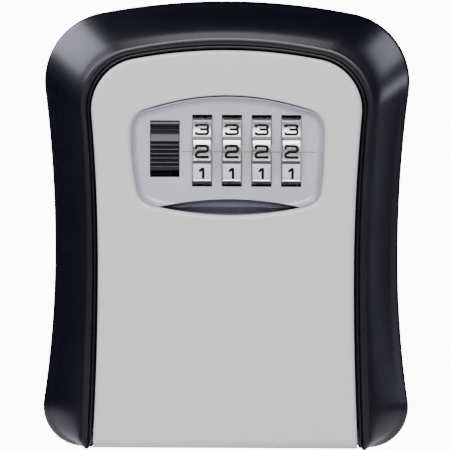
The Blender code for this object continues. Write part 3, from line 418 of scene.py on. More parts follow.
def hollow_rings(first, last):
    """Cross-sections of one hollow, between two points of the outline."""
    rings = []
    for far, edge in list(zip(midway(body_outline()), midway(door_outline(DOOR_GAP))))[first:last]:
        width = math.dist(far, edge)
        start = lerp(edge, far, min((WALL - LEDGE) / width, 0.4))
        stop = lerp(edge, far, max(1 - SKIN / width, 0.55))
        front = CREST_Y + SKIN + 0.6
        side = CREST_Y + SLOPE_DEPTH * 0.82 + 0.9
        section = [(BEYOND, stop), (side, stop), (front + (side - front) * 0.35, lerp(start, stop, 0.35)),
                   (front, start), (BEYOND, start)]
        rings.append([(x, y, z) for y, (x, z) in section])
    return rings


floor_edge = [(x, z) for x, z in door_outline(DOOR_GAP - LEDGE + 1.0) if z > FOOT_OPEN]
foot_x = door_side(0.0, DOOR_GAP - LEDGE + 1.0)
add(body, prism_y("floor", [(foot_x, FOOT_OPEN)] + floor_edge + [(-foot_x, FOOT_OPEN)], -FLOOR, 0.0))
bottom_front = HINGE_Y + 5.6
add(body, block("bottom", (-foot_x, foot_x), (bottom_front, -0.5), (FOOT_OPEN, FOOT_OPEN + WALL)))
mouth_x = door_side(0.0, DOOR_GAP)
cut(body, block("foot_gap", (-mouth_x, mouth_x), (LEDGE_Y - BEYOND, BEYOND), (-BEYOND, FOOT_OPEN)),
    block("swing_gap", (-mouth_x, mouth_x), (LEDGE_Y - BEYOND, bottom_front),
          (-BEYOND, HINGE_Z + SWING_ROOM)))
WEBS = 6
END_STEPS = 7
steps_inside = len(body_outline()) - 2 * END_STEPS
for k in range(WEBS):
    first = END_STEPS + round(k * steps_inside / WEBS)
    last = END_STEPS - 1 + round((k + 1) * steps_inside / WEBS)
    cut(body, loft("hollow", hollow_rings(first, last)))

nose_high = node_span("latch_plate")[1][2]
NOSE_X, POCKET_HALF = 15.0, 5.0
SCREW_X, SCREW_Z = 23.0, 32.0
SCREW_HOLE, SCREW_SEAT, SEAT_DEPTH = 2.6, 5.0, 0.8
behind_lip = LEDGE_Y + LEDGE_THICKNESS
outside, seat_floor = -FLOOR - BEYOND, -FLOOR + SEAT_DEPTH
for side in (-1, 1):
    ends = sorted((side * (mouth_x - 1.5), side * (mouth_x + 3.2)))
    cut(body, rod_x("pin_hole", HINGE_Y, HINGE_Z, [(x, PIN_BORE) for x in ends], 32))
    cut(body, block("latch_pocket", (side * NOSE_X - POCKET_HALF, side * NOSE_X + POCKET_HALF),
                    (behind_lip, behind_lip + 3.2), (nose_high - 4.0, nose_high + 0.6)))
    for z in (HEIGHT / 2 - SCREW_Z, HEIGHT / 2 + SCREW_Z):
        cut(body, rod_y("screw_hole", side * SCREW_X, z, [(outside, SCREW_HOLE), (BEYOND, SCREW_HOLE)]),
            rod_y("screw_seat", side * SCREW_X, z, [(outside, SCREW_SEAT), (seat_floor, SCREW_SEAT)]))
finish_edges(body, 38)
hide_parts("housing")
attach(body, "housing")
pieces["body_casting"] = body
print("body casting:", len(body.data.polygons), "faces")

# %% [markdown]
# ## The door
# The door is a deep-drawn or cast shell with a softly rounded edge all round. It is lofted from its hollow
# back, round the rim and over the edge radius to the flat face. Its foot is cut away and carries the hinge
# barrel, because the door swings down about a pin near its lower edge. The window's lip is rounded
# generously at the sides and below, and kept almost sharp along its upper arc, so the cutter's flare
# changes from point to point.


# %% Door shell
def window_outline(grow=0.0, fine=4):
    """Opening for the bezel: crowned top, drawn-in sides, lens-shaped bottom."""
    right, left = WINDOW_RIGHT + grow, WINDOW_LEFT - grow
    top, bottom, lens = AXIS_Z + 14.1 + grow, AXIS_Z - 16.5 - grow, LENS_TIP_Z - grow
    shoulder, hip, middle = AXIS_Z + 10.5, AXIS_Z - 10.0, (WINDOW_LEFT + WINDOW_RIGHT) / 2
    points = curve((right, shoulder - 6), (right, shoulder - 1.4), (right - 3.8, shoulder), 3 * fine)
    points += curve((right - 3.8, shoulder), (middle, 2 * top - shoulder), (left + 3.8, shoulder), 9 * fine)
    points += curve((left + 3.8, shoulder), (left, shoulder - 1.4), (left, shoulder - 6), 3 * fine)
    points += curve((left, shoulder - 6), (left + 0.1, hip + 6.0), (left + 1.6, hip), 3 * fine)
    points += curve((left + 1.6, hip), (left + 2.2, lens + 0.8), (left + 7.2, lens), 4 * fine)
    points += curve((left + 7.2, lens), (middle + 0.6, 2 * bottom - lens), (right - 6.0, lens), 9 * fine)
    points += curve((right - 6.0, lens), (right - 1.0, lens + 0.8), (right - 0.8, hip), 4 * fine)
    return points + curve((right - 0.8, hip), (right - 0.1, hip + 6.0), (right, shoulder - 6), 3 * fine)


def door_ring(y, inset, lift=0.0):
    """The door's outline at one depth, drawn in by inset, its foot at lift."""
    return [(x, y, z) for x, z in door_outline(-inset, DOOR_BOTTOM + lift, split=False)]


WINDOW_LEFT, WINDOW_RIGHT = -24.4, 25.0
LENS_TIP_Z = AXIS_Z - 14.5
QUARTER_TURN = [math.radians(11.25 * k) for k in range(9)]
DRAFT = 0.3
BACK_EDGE = 0.25
rings = [door_ring(SKIN_BACK_Y, DOOR_FLANGE + DRAFT, SWING_ROOM),
         door_ring(DOOR_BACK_Y, DOOR_FLANGE, SWING_ROOM), door_ring(DOOR_BACK_Y, BACK_EDGE),
         door_ring(DOOR_BACK_Y - BACK_EDGE, 0.0), door_ring(FACE_Y + 4.0, -0.1)]
for turn in QUARTER_TURN:
    inset = EDGE_RADIUS * (1 - math.cos(turn)) - 0.12
    ring = door_ring(FACE_Y + EDGE_RADIUS * (1 - math.sin(turn)), inset, FOOT_ROLL * (1 - math.cos(turn)))
    for foot in (0, -1):
        x, y, z = ring[foot]
        ring[foot] = (x, FACE_Y + FOOT_ROLL * (1 - math.sin(turn)), z)
    rings.append(ring)
door = loft("door_shell", rings)
cut(door, block("foot_cut", (-HALF, HALF), (HINGE_Y, 0.0), (-BEYOND, HINGE_Z + SWING_ROOM)))
BARREL_CHAMFER = 0.3
SIDE_LIP, TOP_LIP = 1.25, 0.30
POST_RADIUS, POST_HOLE_DEPTH, SKIN_HOLE_DEPTH = 2.0, 4.5, 1.7
POST_X = DOOR_HALF - 5.6
barrel_end = door_side(0.0, 0.0) - DRAFT
barrel = HINGE_Z - DOOR_BOTTOM - 0.05
add(door, rod_x("barrel", HINGE_Y, HINGE_Z, [
    (-barrel_end, barrel - BARREL_CHAMFER), (-barrel_end + BARREL_CHAMFER, barrel),
    (barrel_end - BARREL_CHAMFER, barrel), (barrel_end, barrel - BARREL_CHAMFER)], 64))
cut(door, rod_x("bore", HINGE_Y, HINGE_Z, [(-HALF, PIN_BORE), (HALF, PIN_BORE)], 32))

edge = window_outline()
lip = []
for x, z in edge:
    upper = min(1.0, max(0.0, (z - AXIS_Z - 8.0) / 4.0))
    lip.append(SIDE_LIP + (TOP_LIP - SIDE_LIP) * upper)
flare = [[(x, FACE_Y - 0.6, z) for x, z in grown(edge, [r + 0.01 for r in lip])]]
for turn in QUARTER_TURN:
    ring = grown(edge, [r * (1 - math.sin(turn)) for r in lip])
    flare.append([(x, FACE_Y + r * (1 - math.cos(turn)), z) for (x, z), r in zip(ring, lip)])
flare.append([(x, SKIN_BACK_Y + BEYOND, z) for x, z in edge])
cut(door, loft("window", flare))
for x in (-POST_X, POST_X):
    for z in (AXIS_Z - 10.5, AXIS_Z + 11.5):
        add(door, rod_y("post", x, z, [(SKIN_BACK_Y - 0.8, POST_RADIUS), (DOOR_BACK_Y, POST_RADIUS)]))
        cut(door, rod_y("hole", x, z, [
            (DOOR_BACK_Y - POST_HOLE_DEPTH, THREAD_BORE), (DOOR_BACK_Y + BEYOND, THREAD_BORE)], 20))
    cut(door, rod_y("hole", x, AXIS_Z, [
        (SKIN_BACK_Y - SKIN_HOLE_DEPTH, THREAD_BORE), (SKIN_BACK_Y + BEYOND, THREAD_BORE)], 20))
finish_edges(door, 34)
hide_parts("door_panel")
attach(door, "door")
pieces["door_shell"] = door
print("door:", len(door.data.polygons), "faces")

# %% [markdown]
# ## The sunk bezel
# The bezel is a cast tray held behind the door's skin. It is lofted from its flange, up a low rim and round
# a hollow fillet down to its face, so the light rolls across the corner instead of breaking. The wheel
# windows are cut by the cylinders the wheels need, which is also how the real windows get their curved
# inner walls.

# %% Bezel
flange_y = SKIN_BACK_Y + SEAT_GAP
flange_back_y = flange_y + 1.5
rim_y = FACE_Y + 0.75
FLANGE, RIM_EDGE, FILLET = 1.4, 0.2, 1.7
bezel_rings = [(flange_back_y, FLANGE), (flange_y, FLANGE), (flange_y, 0.0), (rim_y + RIM_EDGE, 0.0),
               (rim_y + 0.05, -0.06), (rim_y, -RIM_EDGE)]
for k in range(1, 8):
    turn = math.radians(90 * k / 7)
    bezel_rings.append((BEZEL_Y - (BEZEL_Y - rim_y) * (1 - math.sin(turn)),
                        -RIM_EDGE - FILLET * (1 - math.cos(turn))))
gap = [-0.03 - 0.3 * min(1.0, max(0.0, (z - AXIS_Z - 9.0) / 2.5)) for x, z in window_outline()]
bezel = loft("bezel_tray", [[(x, y, z) for x, z in grown(window_outline(), [g + grow for g in gap])]
                            for y, grow in bezel_rings])


def lens_outline(grow, steps=28):
    """Edge of the finger opening, grown outward."""
    left, right = WINDOW_LEFT + 7.2 - grow, WINDOW_RIGHT - 5.9 + grow
    middle, tip = (left + right) / 2, LENS_TIP_Z
    points = curve((right, tip), (middle, tip - 4.0 - 2 * grow), (left, tip), steps)
    return points + curve((left, tip), (middle, tip + 3.8 + 2 * grow), (right, tip), steps)


cut(bezel, prism_y("lens", lens_outline(0.2), FACE_Y - BEYOND, flange_y + 4.0),
    block("low", (-HALF, HALF), (FACE_Y - BEYOND, flange_y + 4.0), (LENS_TIP_Z - 10.0, LENS_TIP_Z)))
for side in (-1, 1):
    tab = sorted((side * (POST_X + 2.0), side * (WINDOW_RIGHT - 2.0)))
    add(bezel, block("tab", tab, (flange_y, flange_back_y), (AXIS_Z - 2.6, AXIS_Z + 2.6)))
    cut(bezel, rod_y("hole", side * POST_X, AXIS_Z, [
        (flange_y - BEYOND, THROUGH_BORE), (flange_y + 3.0, THROUGH_BORE)], 20))
print("bezel tray lofted, with its finger opening and two screw tabs")

# %% [markdown]
# ### Ears, wheel rooms and button window
# Two ears carry the wheel shaft. The places of the wheels and the button come from the model's own nodes.

# %% Cut the bezel
WHEEL_X = [sum(corner[0] for corner in node_span(f"number_wheel_{k}")) / 2 for k in range(1, 5)]
wheel_half = (wheel_high[0] - wheel_low[0]) / 2
ear_left = WHEEL_X[0] - wheel_half - 3.6
ear_right = WHEEL_X[-1] + wheel_half + 4.4
EAR_THICK, EAR_HALF, SHAFT_HOLE = 1.2, 4.5, 1.45
for x in (ear_left, ear_right):
    add(bezel, block("ear", (x, x + EAR_THICK), (flange_y + 0.4, AXIS_Y + 4.0),
                     (AXIS_Z - EAR_HALF, AXIS_Z + EAR_HALF)))
cut(bezel, rod_x("shaft_hole", AXIS_Y, AXIS_Z, [
    (ear_left - BEYOND, SHAFT_HOLE), (ear_right + 3.0, SHAFT_HOLE)]))
CAM_ROOM = 4.05
for x in WHEEL_X:
    disc = x + wheel_half + 0.2
    room, room_radius = wheel_half + 0.14, WHEEL_RADIUS + 0.3
    cut(bezel, rod_x("cam_room", AXIS_Y, AXIS_Z, [(disc - 0.25, CAM_ROOM), (disc + 2.55, CAM_ROOM)]),
        rod_x("wheel_room", AXIS_Y, AXIS_Z, [(x - room, room_radius), (x + room, room_radius)], 160))
BUTTON_X = WHEEL_X[0] - 9.6
WINDOW_MARGIN = 0.15
window_top = AXIS_Z + 7.7
window_low = window_top - BUTTON_HEIGHT - BUTTON_TRAVEL - 2 * WINDOW_MARGIN
cut(bezel, block("button_room", (BUTTON_X - 3.8, BUTTON_X + 3.8), (FACE_Y - BEYOND, flange_y + 3.0),
                 (window_low, window_top)))
finish_edges(bezel, 30, bevel=0.16)
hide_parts("dial_bezel")
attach(bezel, "door")
pieces["bezel_tray"] = bezel
print("bezel:", len(bezel.data.polygons), "faces")

# %% [markdown]
# ### Index line
# A fine line crosses the bezel at reading height, broken by the windows. It is filled paint in a shallow
# groove, so it is built as thin strips that stand a few hundredths of a millimetre proud of the face.

# %% Index strips
stand_off = wheel_half + 0.34
stops = [BUTTON_X + 4.35] + [x + s for x in WHEEL_X for s in (-stand_off, stand_off)] + [WINDOW_RIGHT - 1.8]
strips = list(zip(stops[::2], stops[1::2]))
LINE_HALF = 0.12
line_z = AXIS_Z - 0.3
points, faces = [], []
for left, right in strips:
    base = len(points)
    low, high = line_z - LINE_HALF, line_z + LINE_HALF
    outline = [(left, low), (right, low), (right, high), (left, high)]
    for y in (BEZEL_Y + 0.1, BEZEL_Y - 0.02):
        points += [(x, y, z) for x, z in outline]
    faces += [tuple(base + i for i in quad) for quad in
              ((3, 2, 1, 0), (4, 5, 6, 7), (0, 1, 5, 4), (1, 2, 6, 5), (2, 3, 7, 6), (3, 0, 4, 7))]
index_line = solid("index_line", points, faces)
index_line.data.shade_flat()
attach(index_line, "door")
pieces["index_line"] = index_line
print("index line:", len(strips), "strips")

# %% [markdown]
# ## Number wheels
# Each wheel is a die-cast, plated drum with ten numbered faces between narrow ridges. The faces are very
# slightly domed, which is why a real one shades from white to grey within one face. RIDGE is about half a
# ridge's width as an angle, FLAT how far a face's edge lies below the ridges, DOME how far its middle
# stands above a flat one.

# %% Wheels
STEP = 2 * math.pi / DIGITS
RIDGE = 0.036
FLAT = 0.30
DOME = 0.22


def wheel_section(shrink):
    """Round the drum: ten domed faces, each between two ridges, all drawn in by shrink."""
    points = []
    for k in range(DIGITS):
        middle = math.pi + STEP / 2 + k * STEP
        for a, low in ((-1.5, FLAT), (-1.12, 0.05), (-0.9, 0.0), (0.9, 0.0), (1.12, 0.05), (1.5, FLAT)):
            r = WHEEL_RADIUS - low - shrink
            points.append((r * math.cos(middle + a * RIDGE), r * math.sin(middle + a * RIDGE)))
        # the domed face that follows this ridge, from its edge to the next ridge's edge
        start, stop = middle + 1.5 * RIDGE, middle + STEP - 1.5 * RIDGE
        edge_r = WHEEL_RADIUS - FLAT - shrink
        flat = edge_r * math.cos((stop - start) / 2)
        for j in range(1, 12):
            share = j / 12
            a = start + (stop - start) * share
            dome = DOME * (1 - (2 * share - 1) ** 2)
            r = flat / math.cos(a - (start + stop) / 2) + dome
            points.append((r * math.cos(a), r * math.sin(a)))
    return points


def number_wheel(k, x):
    """A drum with chamfered ends, a ten-sided bore and a counterbore."""
    half = wheel_half
    layers = [(-half, 0.42), (-half + 0.1, 0.2), (-half + 0.24, 0.05), (-half + 0.34, 0.0),
              (half - 0.34, 0.0), (half - 0.24, 0.05), (half - 0.1, 0.2), (half, 0.42)]
    rings = [[(x + dx, AXIS_Y + u, AXIS_Z + v) for u, v in wheel_section(shrink)] for dx, shrink in layers]
    wheel = loft(f"drum_{k}", rings)
    bore = [(AXIS_Y + u, AXIS_Z + v) for u, v in circle(2.5, DIGITS)]
    room = 2.8
    cut(wheel, prism_x("bore", bore, x - half - BEYOND, x + half + BEYOND),
        rod_x("counterbore", AXIS_Y, AXIS_Z, [(x - half - BEYOND, room), (x - half + 1.6, room)]))
    finish_edges(wheel, 28)
    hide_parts(f"number_wheel_{k}")
    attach(wheel, f"wheel_{k}")
    return wheel


for k, x in enumerate(WHEEL_X, start=1):
    pieces[f"drum_{k}"] = number_wheel(k, x)
print("drum:", len(pieces["drum_1"].data.polygons), "faces")

# %% [markdown]
# ### Digits
# The digits are printed ink: rounded ribbons laid on the face, two hundredths of a millimetre proud. They
# are built from strokes, so no font is needed. A digit is one or more polylines in a box 3.0 mm wide and
# 2.7 mm high, before the ribbon's own width. Every corner is turned with a small arc, the line is thickened
# to a ribbon, and the ribbon is bent onto the face it belongs to. The printed box sits a little below the
# middle of its face, as it does on the real wheels.

# %% Strokes
WIDE, TALL, INK = 3.0, 2.72, 0.68
W, T = WIDE / 2, TALL / 2
DIGIT_STROKES = {
    0: [([(-W, -T), (W, -T), (W, T), (-W, T)], True)],
    1: [([(-0.72, 0.62), (0.1, T + 0.02), (0.32, T), (0.32, -T - 0.3)], False)],
    2: [([(-W, 0.62), (-W, T), (W, T), (W, 0.0), (-0.7, -0.05), (-W, -0.5), (-W, -T), (W + 0.3, -T)], False)],
    3: [([(-W, 0.72), (-W, T), (W, T), (W, 0.0), (-0.55, 0.0)], False),
        ([(-0.55, 0.0), (W + 0.04, 0.0), (W + 0.04, -T), (-W, -T), (-W, -0.72)], False)],
    4: [([(0.75, -T - 0.3), (0.75, T), (0.1, T), (-W, -0.55), (-W, -0.72), (W + 0.3, -0.72)], False)],
    5: [([(W + 0.1, T), (-W, T), (-W, 0.12), (W, 0.12), (W, -T), (-W, -T), (-W, -0.75)], False)],
    6: [([(W, 0.8), (W, T), (-W, T), (-W, -T), (W, -T), (W, 0.1), (-W, 0.1)], False)],
    7: [([(-W - 0.2, T), (W, T), (W, 0.75), (-0.1, -0.6), (-0.1, -T - 0.3)], False)],
    8: [([(-W, 0.0), (-W, T), (W, T), (W, 0.0)], True), ([(-W, 0.0), (-W, -T), (W, -T), (W, 0.0)], True)],
    9: [([(-W, -0.8), (-W, -T), (W, -T), (W, T), (-W, T), (-W, -0.1), (W, -0.1)], False)],
}


def round_corners(line, closed, radius=0.85, steps=8):
    """The polyline with each corner replaced by a smooth turn."""
    count = len(line)
    result = []
    for i in range(count):
        p = Vector(line[i])
        if not closed and i in (0, count - 1):
            result.append(p)
            continue
        before, after = Vector(line[i - 1]), Vector(line[(i + 1) % count])
        back, ahead = before - p, after - p
        reach = min(radius, back.length * 0.48, ahead.length * 0.48)
        a, b = p + back.normalized() * reach, p + ahead.normalized() * reach
        for j in range(steps + 1):
            t = j / steps
            result.append(a * (1 - t) ** 2 + p * (2 * t * (1 - t)) + b * t**2)
    return result


def resampled(line, closed, longest=0.3):
    """Extra points on the straight runs, so that a stroke can bend with its face."""
    ends = line + [line[0]] if closed else line
    result = []
    for p, q in zip(ends, ends[1:]):
        parts = max(1, math.ceil((q - p).length / longest))
        result += [p.lerp(q, i / parts) for i in range(parts)]
    return result if closed else result + [line[-1]]


def ribbon(line, closed, width):
    """Left and right edges of the thickened line."""
    count = len(line)
    pairs = []
    for i, p in enumerate(line):
        if closed:
            along = line[(i + 1) % count] - line[i - 1]
        else:
            along = line[min(i + 1, count - 1)] - line[max(i - 1, 0)]
        side = Vector((-along.y, along.x)).normalized() * width / 2
        pairs.append((p + side, p - side))
    return pairs


def face_radius(angle):
    """Distance of a numbered face from the axis, at an angle from the face's middle."""
    span = STEP - 3 * RIDGE
    flat = (WHEEL_RADIUS - FLAT) * math.cos(span / 2)
    share = angle / span + 0.5
    return flat / math.cos(angle) + DOME * (1 - (2 * share - 1) ** 2)


FACE_REACH = 9.36
PRINT_DROP = 0.36
PRINT_STRETCH = 1.04


def wheel_digits(k, x):
    """All ten digits of one wheel, as closed ribbons on its faces."""
    points, faces = [], []
    for digit, strokes in DIGIT_STROKES.items():
        middle = math.pi - (digit - 2) * STEP
        for line, closed in strokes:
            pairs = ribbon(resampled(round_corners(line, closed), closed), closed, INK)
            base = len(points)
            for left, right in pairs:
                for spot in (left, right):
                    for lift in (0.02, -0.06):
                        tilt = math.atan2(spot.y * PRINT_STRETCH - PRINT_DROP, FACE_REACH)
                        r = face_radius(tilt) + lift
                        a = middle - tilt
                        points.append((x + spot.x, AXIS_Y + r * math.cos(a), AXIS_Z + r * math.sin(a)))
            count = len(pairs)
            for i in range(count if closed else count - 1):
                a, b = base + 4 * i, base + 4 * ((i + 1) % count)
                faces += [(a, a + 2, b + 2, b), (a + 1, b + 1, b + 3, a + 3), (a, b, b + 1, a + 1),
                          (a + 2, a + 3, b + 3, b + 2)]
            if not closed:
                last = base + 4 * (count - 1)
                faces += [(base, base + 1, base + 3, base + 2), (last, last + 2, last + 3, last + 1)]
    digits = solid(f"printed_digits_{k}", points, faces)
    digits.data.shade_flat()
    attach(digits, f"wheel_{k}")
    return digits


for k, x in enumerate(WHEEL_X, start=1):
    pieces[f"printed_digits_{k}"] = wheel_digits(k, x)
print("digits:", len(pieces["printed_digits_1"].data.polygons), "faces on each wheel")

# %% [markdown]
# ## Release button
# The button is moulded in one piece with fine grip ribs across its middle, two raised lines near its top
# and a dark foot. It slides down in a window 1.5 mm longer than itself. The side profile is drawn once and
# pushed across the width; the neck, flange and stem behind it are those of the model.

# %% Button
button_top = window_top - WINDOW_MARGIN
button_foot = button_top - BUTTON_HEIGHT
crown_y = BEZEL_Y - 0.75
profile = [(BEZEL_Y + 1.5, button_foot), (crown_y + 0.5, button_foot), (crown_y + 0.18, button_foot + 0.12),
           (crown_y + 0.02, button_foot + 0.4)]
z = button_foot + 0.75
RIBS, RIB_PITCH = 6, 1.12
RIB_SHAPE = ((0.0, 0.0), (0.0, 0.24), (0.08, 0.34), (0.46, 0.52), (0.5, 0.62), (0.46, 0.74),
             (0.1, RIB_PITCH - 0.08))
for _ in range(RIBS):
    profile += [(crown_y + depth, z + rise) for depth, rise in RIB_SHAPE]
    z += RIB_PITCH
profile += [(crown_y + 0.02, z), (crown_y + 0.12, z + 0.6), (crown_y + 0.3, z + 1.6)]
HEAD_SHAPE = ((0.34, 3.3), (0.06, 3.05), (0.0, 2.8), (0.0, 2.35), (0.34, 2.15), (0.36, 1.35), (0.04, 1.1),
              (0.0, 0.9), (0.06, 0.35), (0.3, 0.06), (0.6, 0.0))
profile += [(crown_y + depth, button_top - below) for depth, below in HEAD_SHAPE]
profile.append((BEZEL_Y + 1.5, button_top))
BUTTON_HALF = 3.65
button = prism_x("ribbed_button", profile, BUTTON_X - BUTTON_HALF, BUTTON_X + BUTTON_HALF)
print("button profile:", len(profile), "points")

# %% Parts behind the button
behind = flange_back_y + SEAT_GAP
stem_end = node_span("release_button")[1][1]
neck_half = BUTTON_HALF - 0.3
add(button, block("neck", (BUTTON_X - neck_half, BUTTON_X + neck_half), (flange_back_y - 0.3, behind + 0.3),
                  (button_foot + 0.3, button_top - 0.3)),
    block("flange", (BUTTON_X - 3.95, BUTTON_X + 1.85), (behind, behind + 1.2),
          (button_foot - 1.2, button_top + BUTTON_TRAVEL)),
    block("stem", (BUTTON_X - 2.4, BUTTON_X + 2.0), (behind + 1.0, stem_end),
          (AXIS_Z + 1.5, button_top - 0.6)))
cut(button, rod_y("hole", BUTTON_X - 0.2, AXIS_Z + 4.5, [
    (stem_end - 4.7, THREAD_BORE), (stem_end + 1.3, THREAD_BORE)], 24))
finish_edges(button, 40, bevel=0.09)
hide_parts("release_button")
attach(button, "release")
pieces["ribbed_button"] = button
print("button:", len(button.data.polygons), "faces")

# %% [markdown]
# ## Finger cup
# Under the bezel a lens-shaped recess takes a fingertip. The model's cup is a plain well; here its bowl is
# hollowed in a smooth sweep from the lens edge to a narrow floor, so it shades like the moulded piece.

# %% Finger cup
cup_low, cup_high = node_span("finger_cup")
cup_width = (cup_low[0], cup_high[0])
cup = block("finger_bowl", cup_width, (flange_back_y + SEAT_GAP, cup_high[1]), (cup_low[2], cup_high[2]))
add(cup, block("lip", cup_width, (flange_y, flange_back_y + 1.3), (cup_low[2], LENS_TIP_Z - 2.6)))


def slanted_bowl(name, deeper=0.0):
    """The recess: its roof comes down as it goes back, its lower edge stays under the door's lip."""
    outline = lens_outline(0.15)
    half = len(outline) // 2
    rings = [[(x, flange_y - 2.0, z) for x, z in outline]]
    for k in range(8):
        share = k / 7
        ring = []
        for i, (x, z) in enumerate(outline):
            floor_z = outline[(2 * half - i) % len(outline)][1] if i > half else z
            floor_z = min(floor_z, z)
            ring.append((x, BEZEL_Y + 0.2 + deeper + 2.6 * share,
                         floor_z + (z - floor_z) * (1 - 0.86 * share)))
        rings.append(ring)
    return loft(name, rings)


cut(cup, slanted_bowl("bowl"))
scoop = slanted_bowl("scoop", 0.25)
scoop_edge = [(0.15 + 10.5 * u, LENS_TIP_Z + 5.2 * v) for u, v in circle(1.0, 64)]
combine(scoop, prism_y("scoop_edge", scoop_edge, -50.0, 0.0), "INTERSECT")
cut(cup, scoop)
finish_edges(cup, 32)
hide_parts("finger_cup")
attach(cup, "door")
pieces["finger_bowl"] = cup
print("cup:", len(cup.data.polygons), "faces")

# %% [markdown]
# ## Finishes
# Every finish is procedural. The body's coat is a satin black with a cold tint and a faintly uneven gloss.
# The door is a pale warm-grey paint with fine metallic flake. The bezel is plated and bead-blasted. The
# drums are satin-plated on their faces. Their ridges, plated like the faces, get a painted shade: a
# near-black that stands for the shade and dark reflection they show. It is set by how far a point stands from
# the axis, so it turns with the wheel. Metal parts of the lock are brushed or turned.


# %% Material tools
def finish(name, colour, roughness, metallic=0.0):
    """A new Principled material, its node tree and its shader."""
    made = bpy.data.materials.new(name)
    made.use_nodes = True
    shader = made.node_tree.nodes["Principled BSDF"]
    shader.inputs["Base Color"].default_value = (*colour, 1.0)
    shader.inputs["Roughness"].default_value = roughness
    shader.inputs["Metallic"].default_value = metallic
    return made, made.node_tree, shader


def object_point(tree):
    """Place on the piece itself, so a pattern moves with it."""
    return tree.nodes.new("ShaderNodeTexCoord").outputs["Object"]


def noise(tree, scale, detail=3.0, stretch=(1, 1, 1)):
    """A cloud of values around 0.5, finer along an axis by its stretch."""
    placed = tree.nodes.new("ShaderNodeMapping")
    placed.inputs["Scale"].default_value = stretch
    tree.links.new(object_point(tree), placed.inputs["Vector"])
    cloud = tree.nodes.new("ShaderNodeTexNoise")
    cloud.inputs["Scale"].default_value = scale
    cloud.inputs["Detail"].default_value = detail
    tree.links.new(placed.outputs["Vector"], cloud.inputs["Vector"])
    return cloud.outputs["Fac"]


def uneven(tree, shader, value, low, high):
    """Roughness between two numbers, led by a value."""
    spread = tree.nodes.new("ShaderNodeMapRange")
    spread.inputs["From Min"].default_value = 0.25
    spread.inputs["From Max"].default_value = 0.75
    spread.inputs["To Min"].default_value = low
    spread.inputs["To Max"].default_value = high
    tree.links.new(value, spread.inputs["Value"])
    tree.links.new(spread.outputs["Result"], shader.inputs["Roughness"])


def two_tone(tree, shader, value, first, second, low=0.4, high=0.6):
    """Base colour from first to second as the value passes from low to high."""
    ramp = tree.nodes.new("ShaderNodeValToRGB")
    ramp.color_ramp.elements[0].position = low
    ramp.color_ramp.elements[0].color = (*first, 1.0)
    ramp.color_ramp.elements[1].position = high
    ramp.color_ramp.elements[1].color = (*second, 1.0)
    tree.links.new(value, ramp.inputs["Fac"])
    tree.links.new(ramp.outputs["Color"], shader.inputs["Base Color"])


def bumped(tree, shader, value, strength, depth):
    """Fine relief from a value, its depth in metres."""
    relief = tree.nodes.new("ShaderNodeBump")
    relief.inputs["Strength"].default_value = strength
    relief.inputs["Distance"].default_value = depth
    tree.links.new(value, relief.inputs["Height"])
    tree.links.new(relief.outputs["Normal"], shader.inputs["Normal"])


# %% [markdown]
# ### Coat, paint and bezel plating
# The three large finishes differ most in how sharply they return a light: the coat shows a soft streak, the
# paint only a slow change of tone, and the plating a cool sheen at the fillet.

# %% Large finishes
coat, tree, shader = finish("black satin coat", (0.0009, 0.001, 0.0034), 0.28)
shader.inputs["Specular IOR Level"].default_value = 0.5
uneven(tree, shader, noise(tree, 120.0, 1.0), 0.27, 0.29)

paint, tree, shader = finish("pale grey paint", (0.545, 0.548, 0.53), 0.5, 0.15)
two_tone(tree, shader, noise(tree, 4000.0, 2.0), (0.525, 0.528, 0.512), (0.56, 0.562, 0.545))
uneven(tree, shader, noise(tree, 1200.0), 0.46, 0.54)
bumped(tree, shader, noise(tree, 1100.0, 2.0), 0.06, 0.0002)

plating, tree, shader = finish("bead-blasted plating", (0.44, 0.445, 0.49), 0.45, 0.35)
two_tone(tree, shader, noise(tree, 2500.0), (0.425, 0.43, 0.475), (0.455, 0.46, 0.505))
bumped(tree, shader, noise(tree, 3500.0, 2.0), 0.08, 0.0001)
print("coat, paint and plating made")

# %% [markdown]
# ### Drum plating with painted shade on the ridges
# The distance from the wheel axis separates ridge from face. Only the ridges stand more than 9.86 mm out.
# Past that, the plating turns to a near-black, less metallic colour: painted shade and painted dark
# reflection on ridges that are plated like the faces.

# %% Drum finish
drum, tree, shader = finish("satin drum plating", (0.82, 0.82, 0.80), 0.24, 1.0)
split = tree.nodes.new("ShaderNodeSeparateXYZ")
tree.links.new(object_point(tree), split.inputs["Vector"])


def calculate(tree, operation, first, second=0.0):
    step = tree.nodes.new("ShaderNodeMath")
    step.operation = operation
    for k, value in enumerate((first, second)):
        if isinstance(value, (int, float)):
            step.inputs[k].default_value = value
        else:
            tree.links.new(value, step.inputs[k])
    return step.outputs["Value"]


from_axis_y = calculate(tree, "SUBTRACT", split.outputs["Y"], AXIS_Y * MM)
from_axis_z = calculate(tree, "SUBTRACT", split.outputs["Z"], AXIS_Z * MM + BASE_Z)
squares = calculate(tree, "ADD", calculate(tree, "MULTIPLY", from_axis_y, from_axis_y),
                    calculate(tree, "MULTIPLY", from_axis_z, from_axis_z))
reach = calculate(tree, "SQRT", squares)
# painted shade: the ridges are coloured near-black and made less metallic to stand for their shade and dark
# reflection
painted_ridge_shade = calculate(tree, "GREATER_THAN", reach, (WHEEL_RADIUS - 0.14) * MM)
two_tone(tree, shader, painted_ridge_shade, (0.80, 0.80, 0.785), (0.035, 0.035, 0.035))
face_metallic = calculate(tree, "SUBTRACT", 1.0, calculate(tree, "MULTIPLY", painted_ridge_shade, 0.8))
tree.links.new(face_metallic, shader.inputs["Metallic"])
uneven(tree, shader, noise(tree, 260.0, 2.0, (1, 9, 9)), 0.2, 0.3)
bumped(tree, shader, noise(tree, 500.0, 2.0, (1, 9, 9)), 0.03, 0.0001)
print("drum plating made")

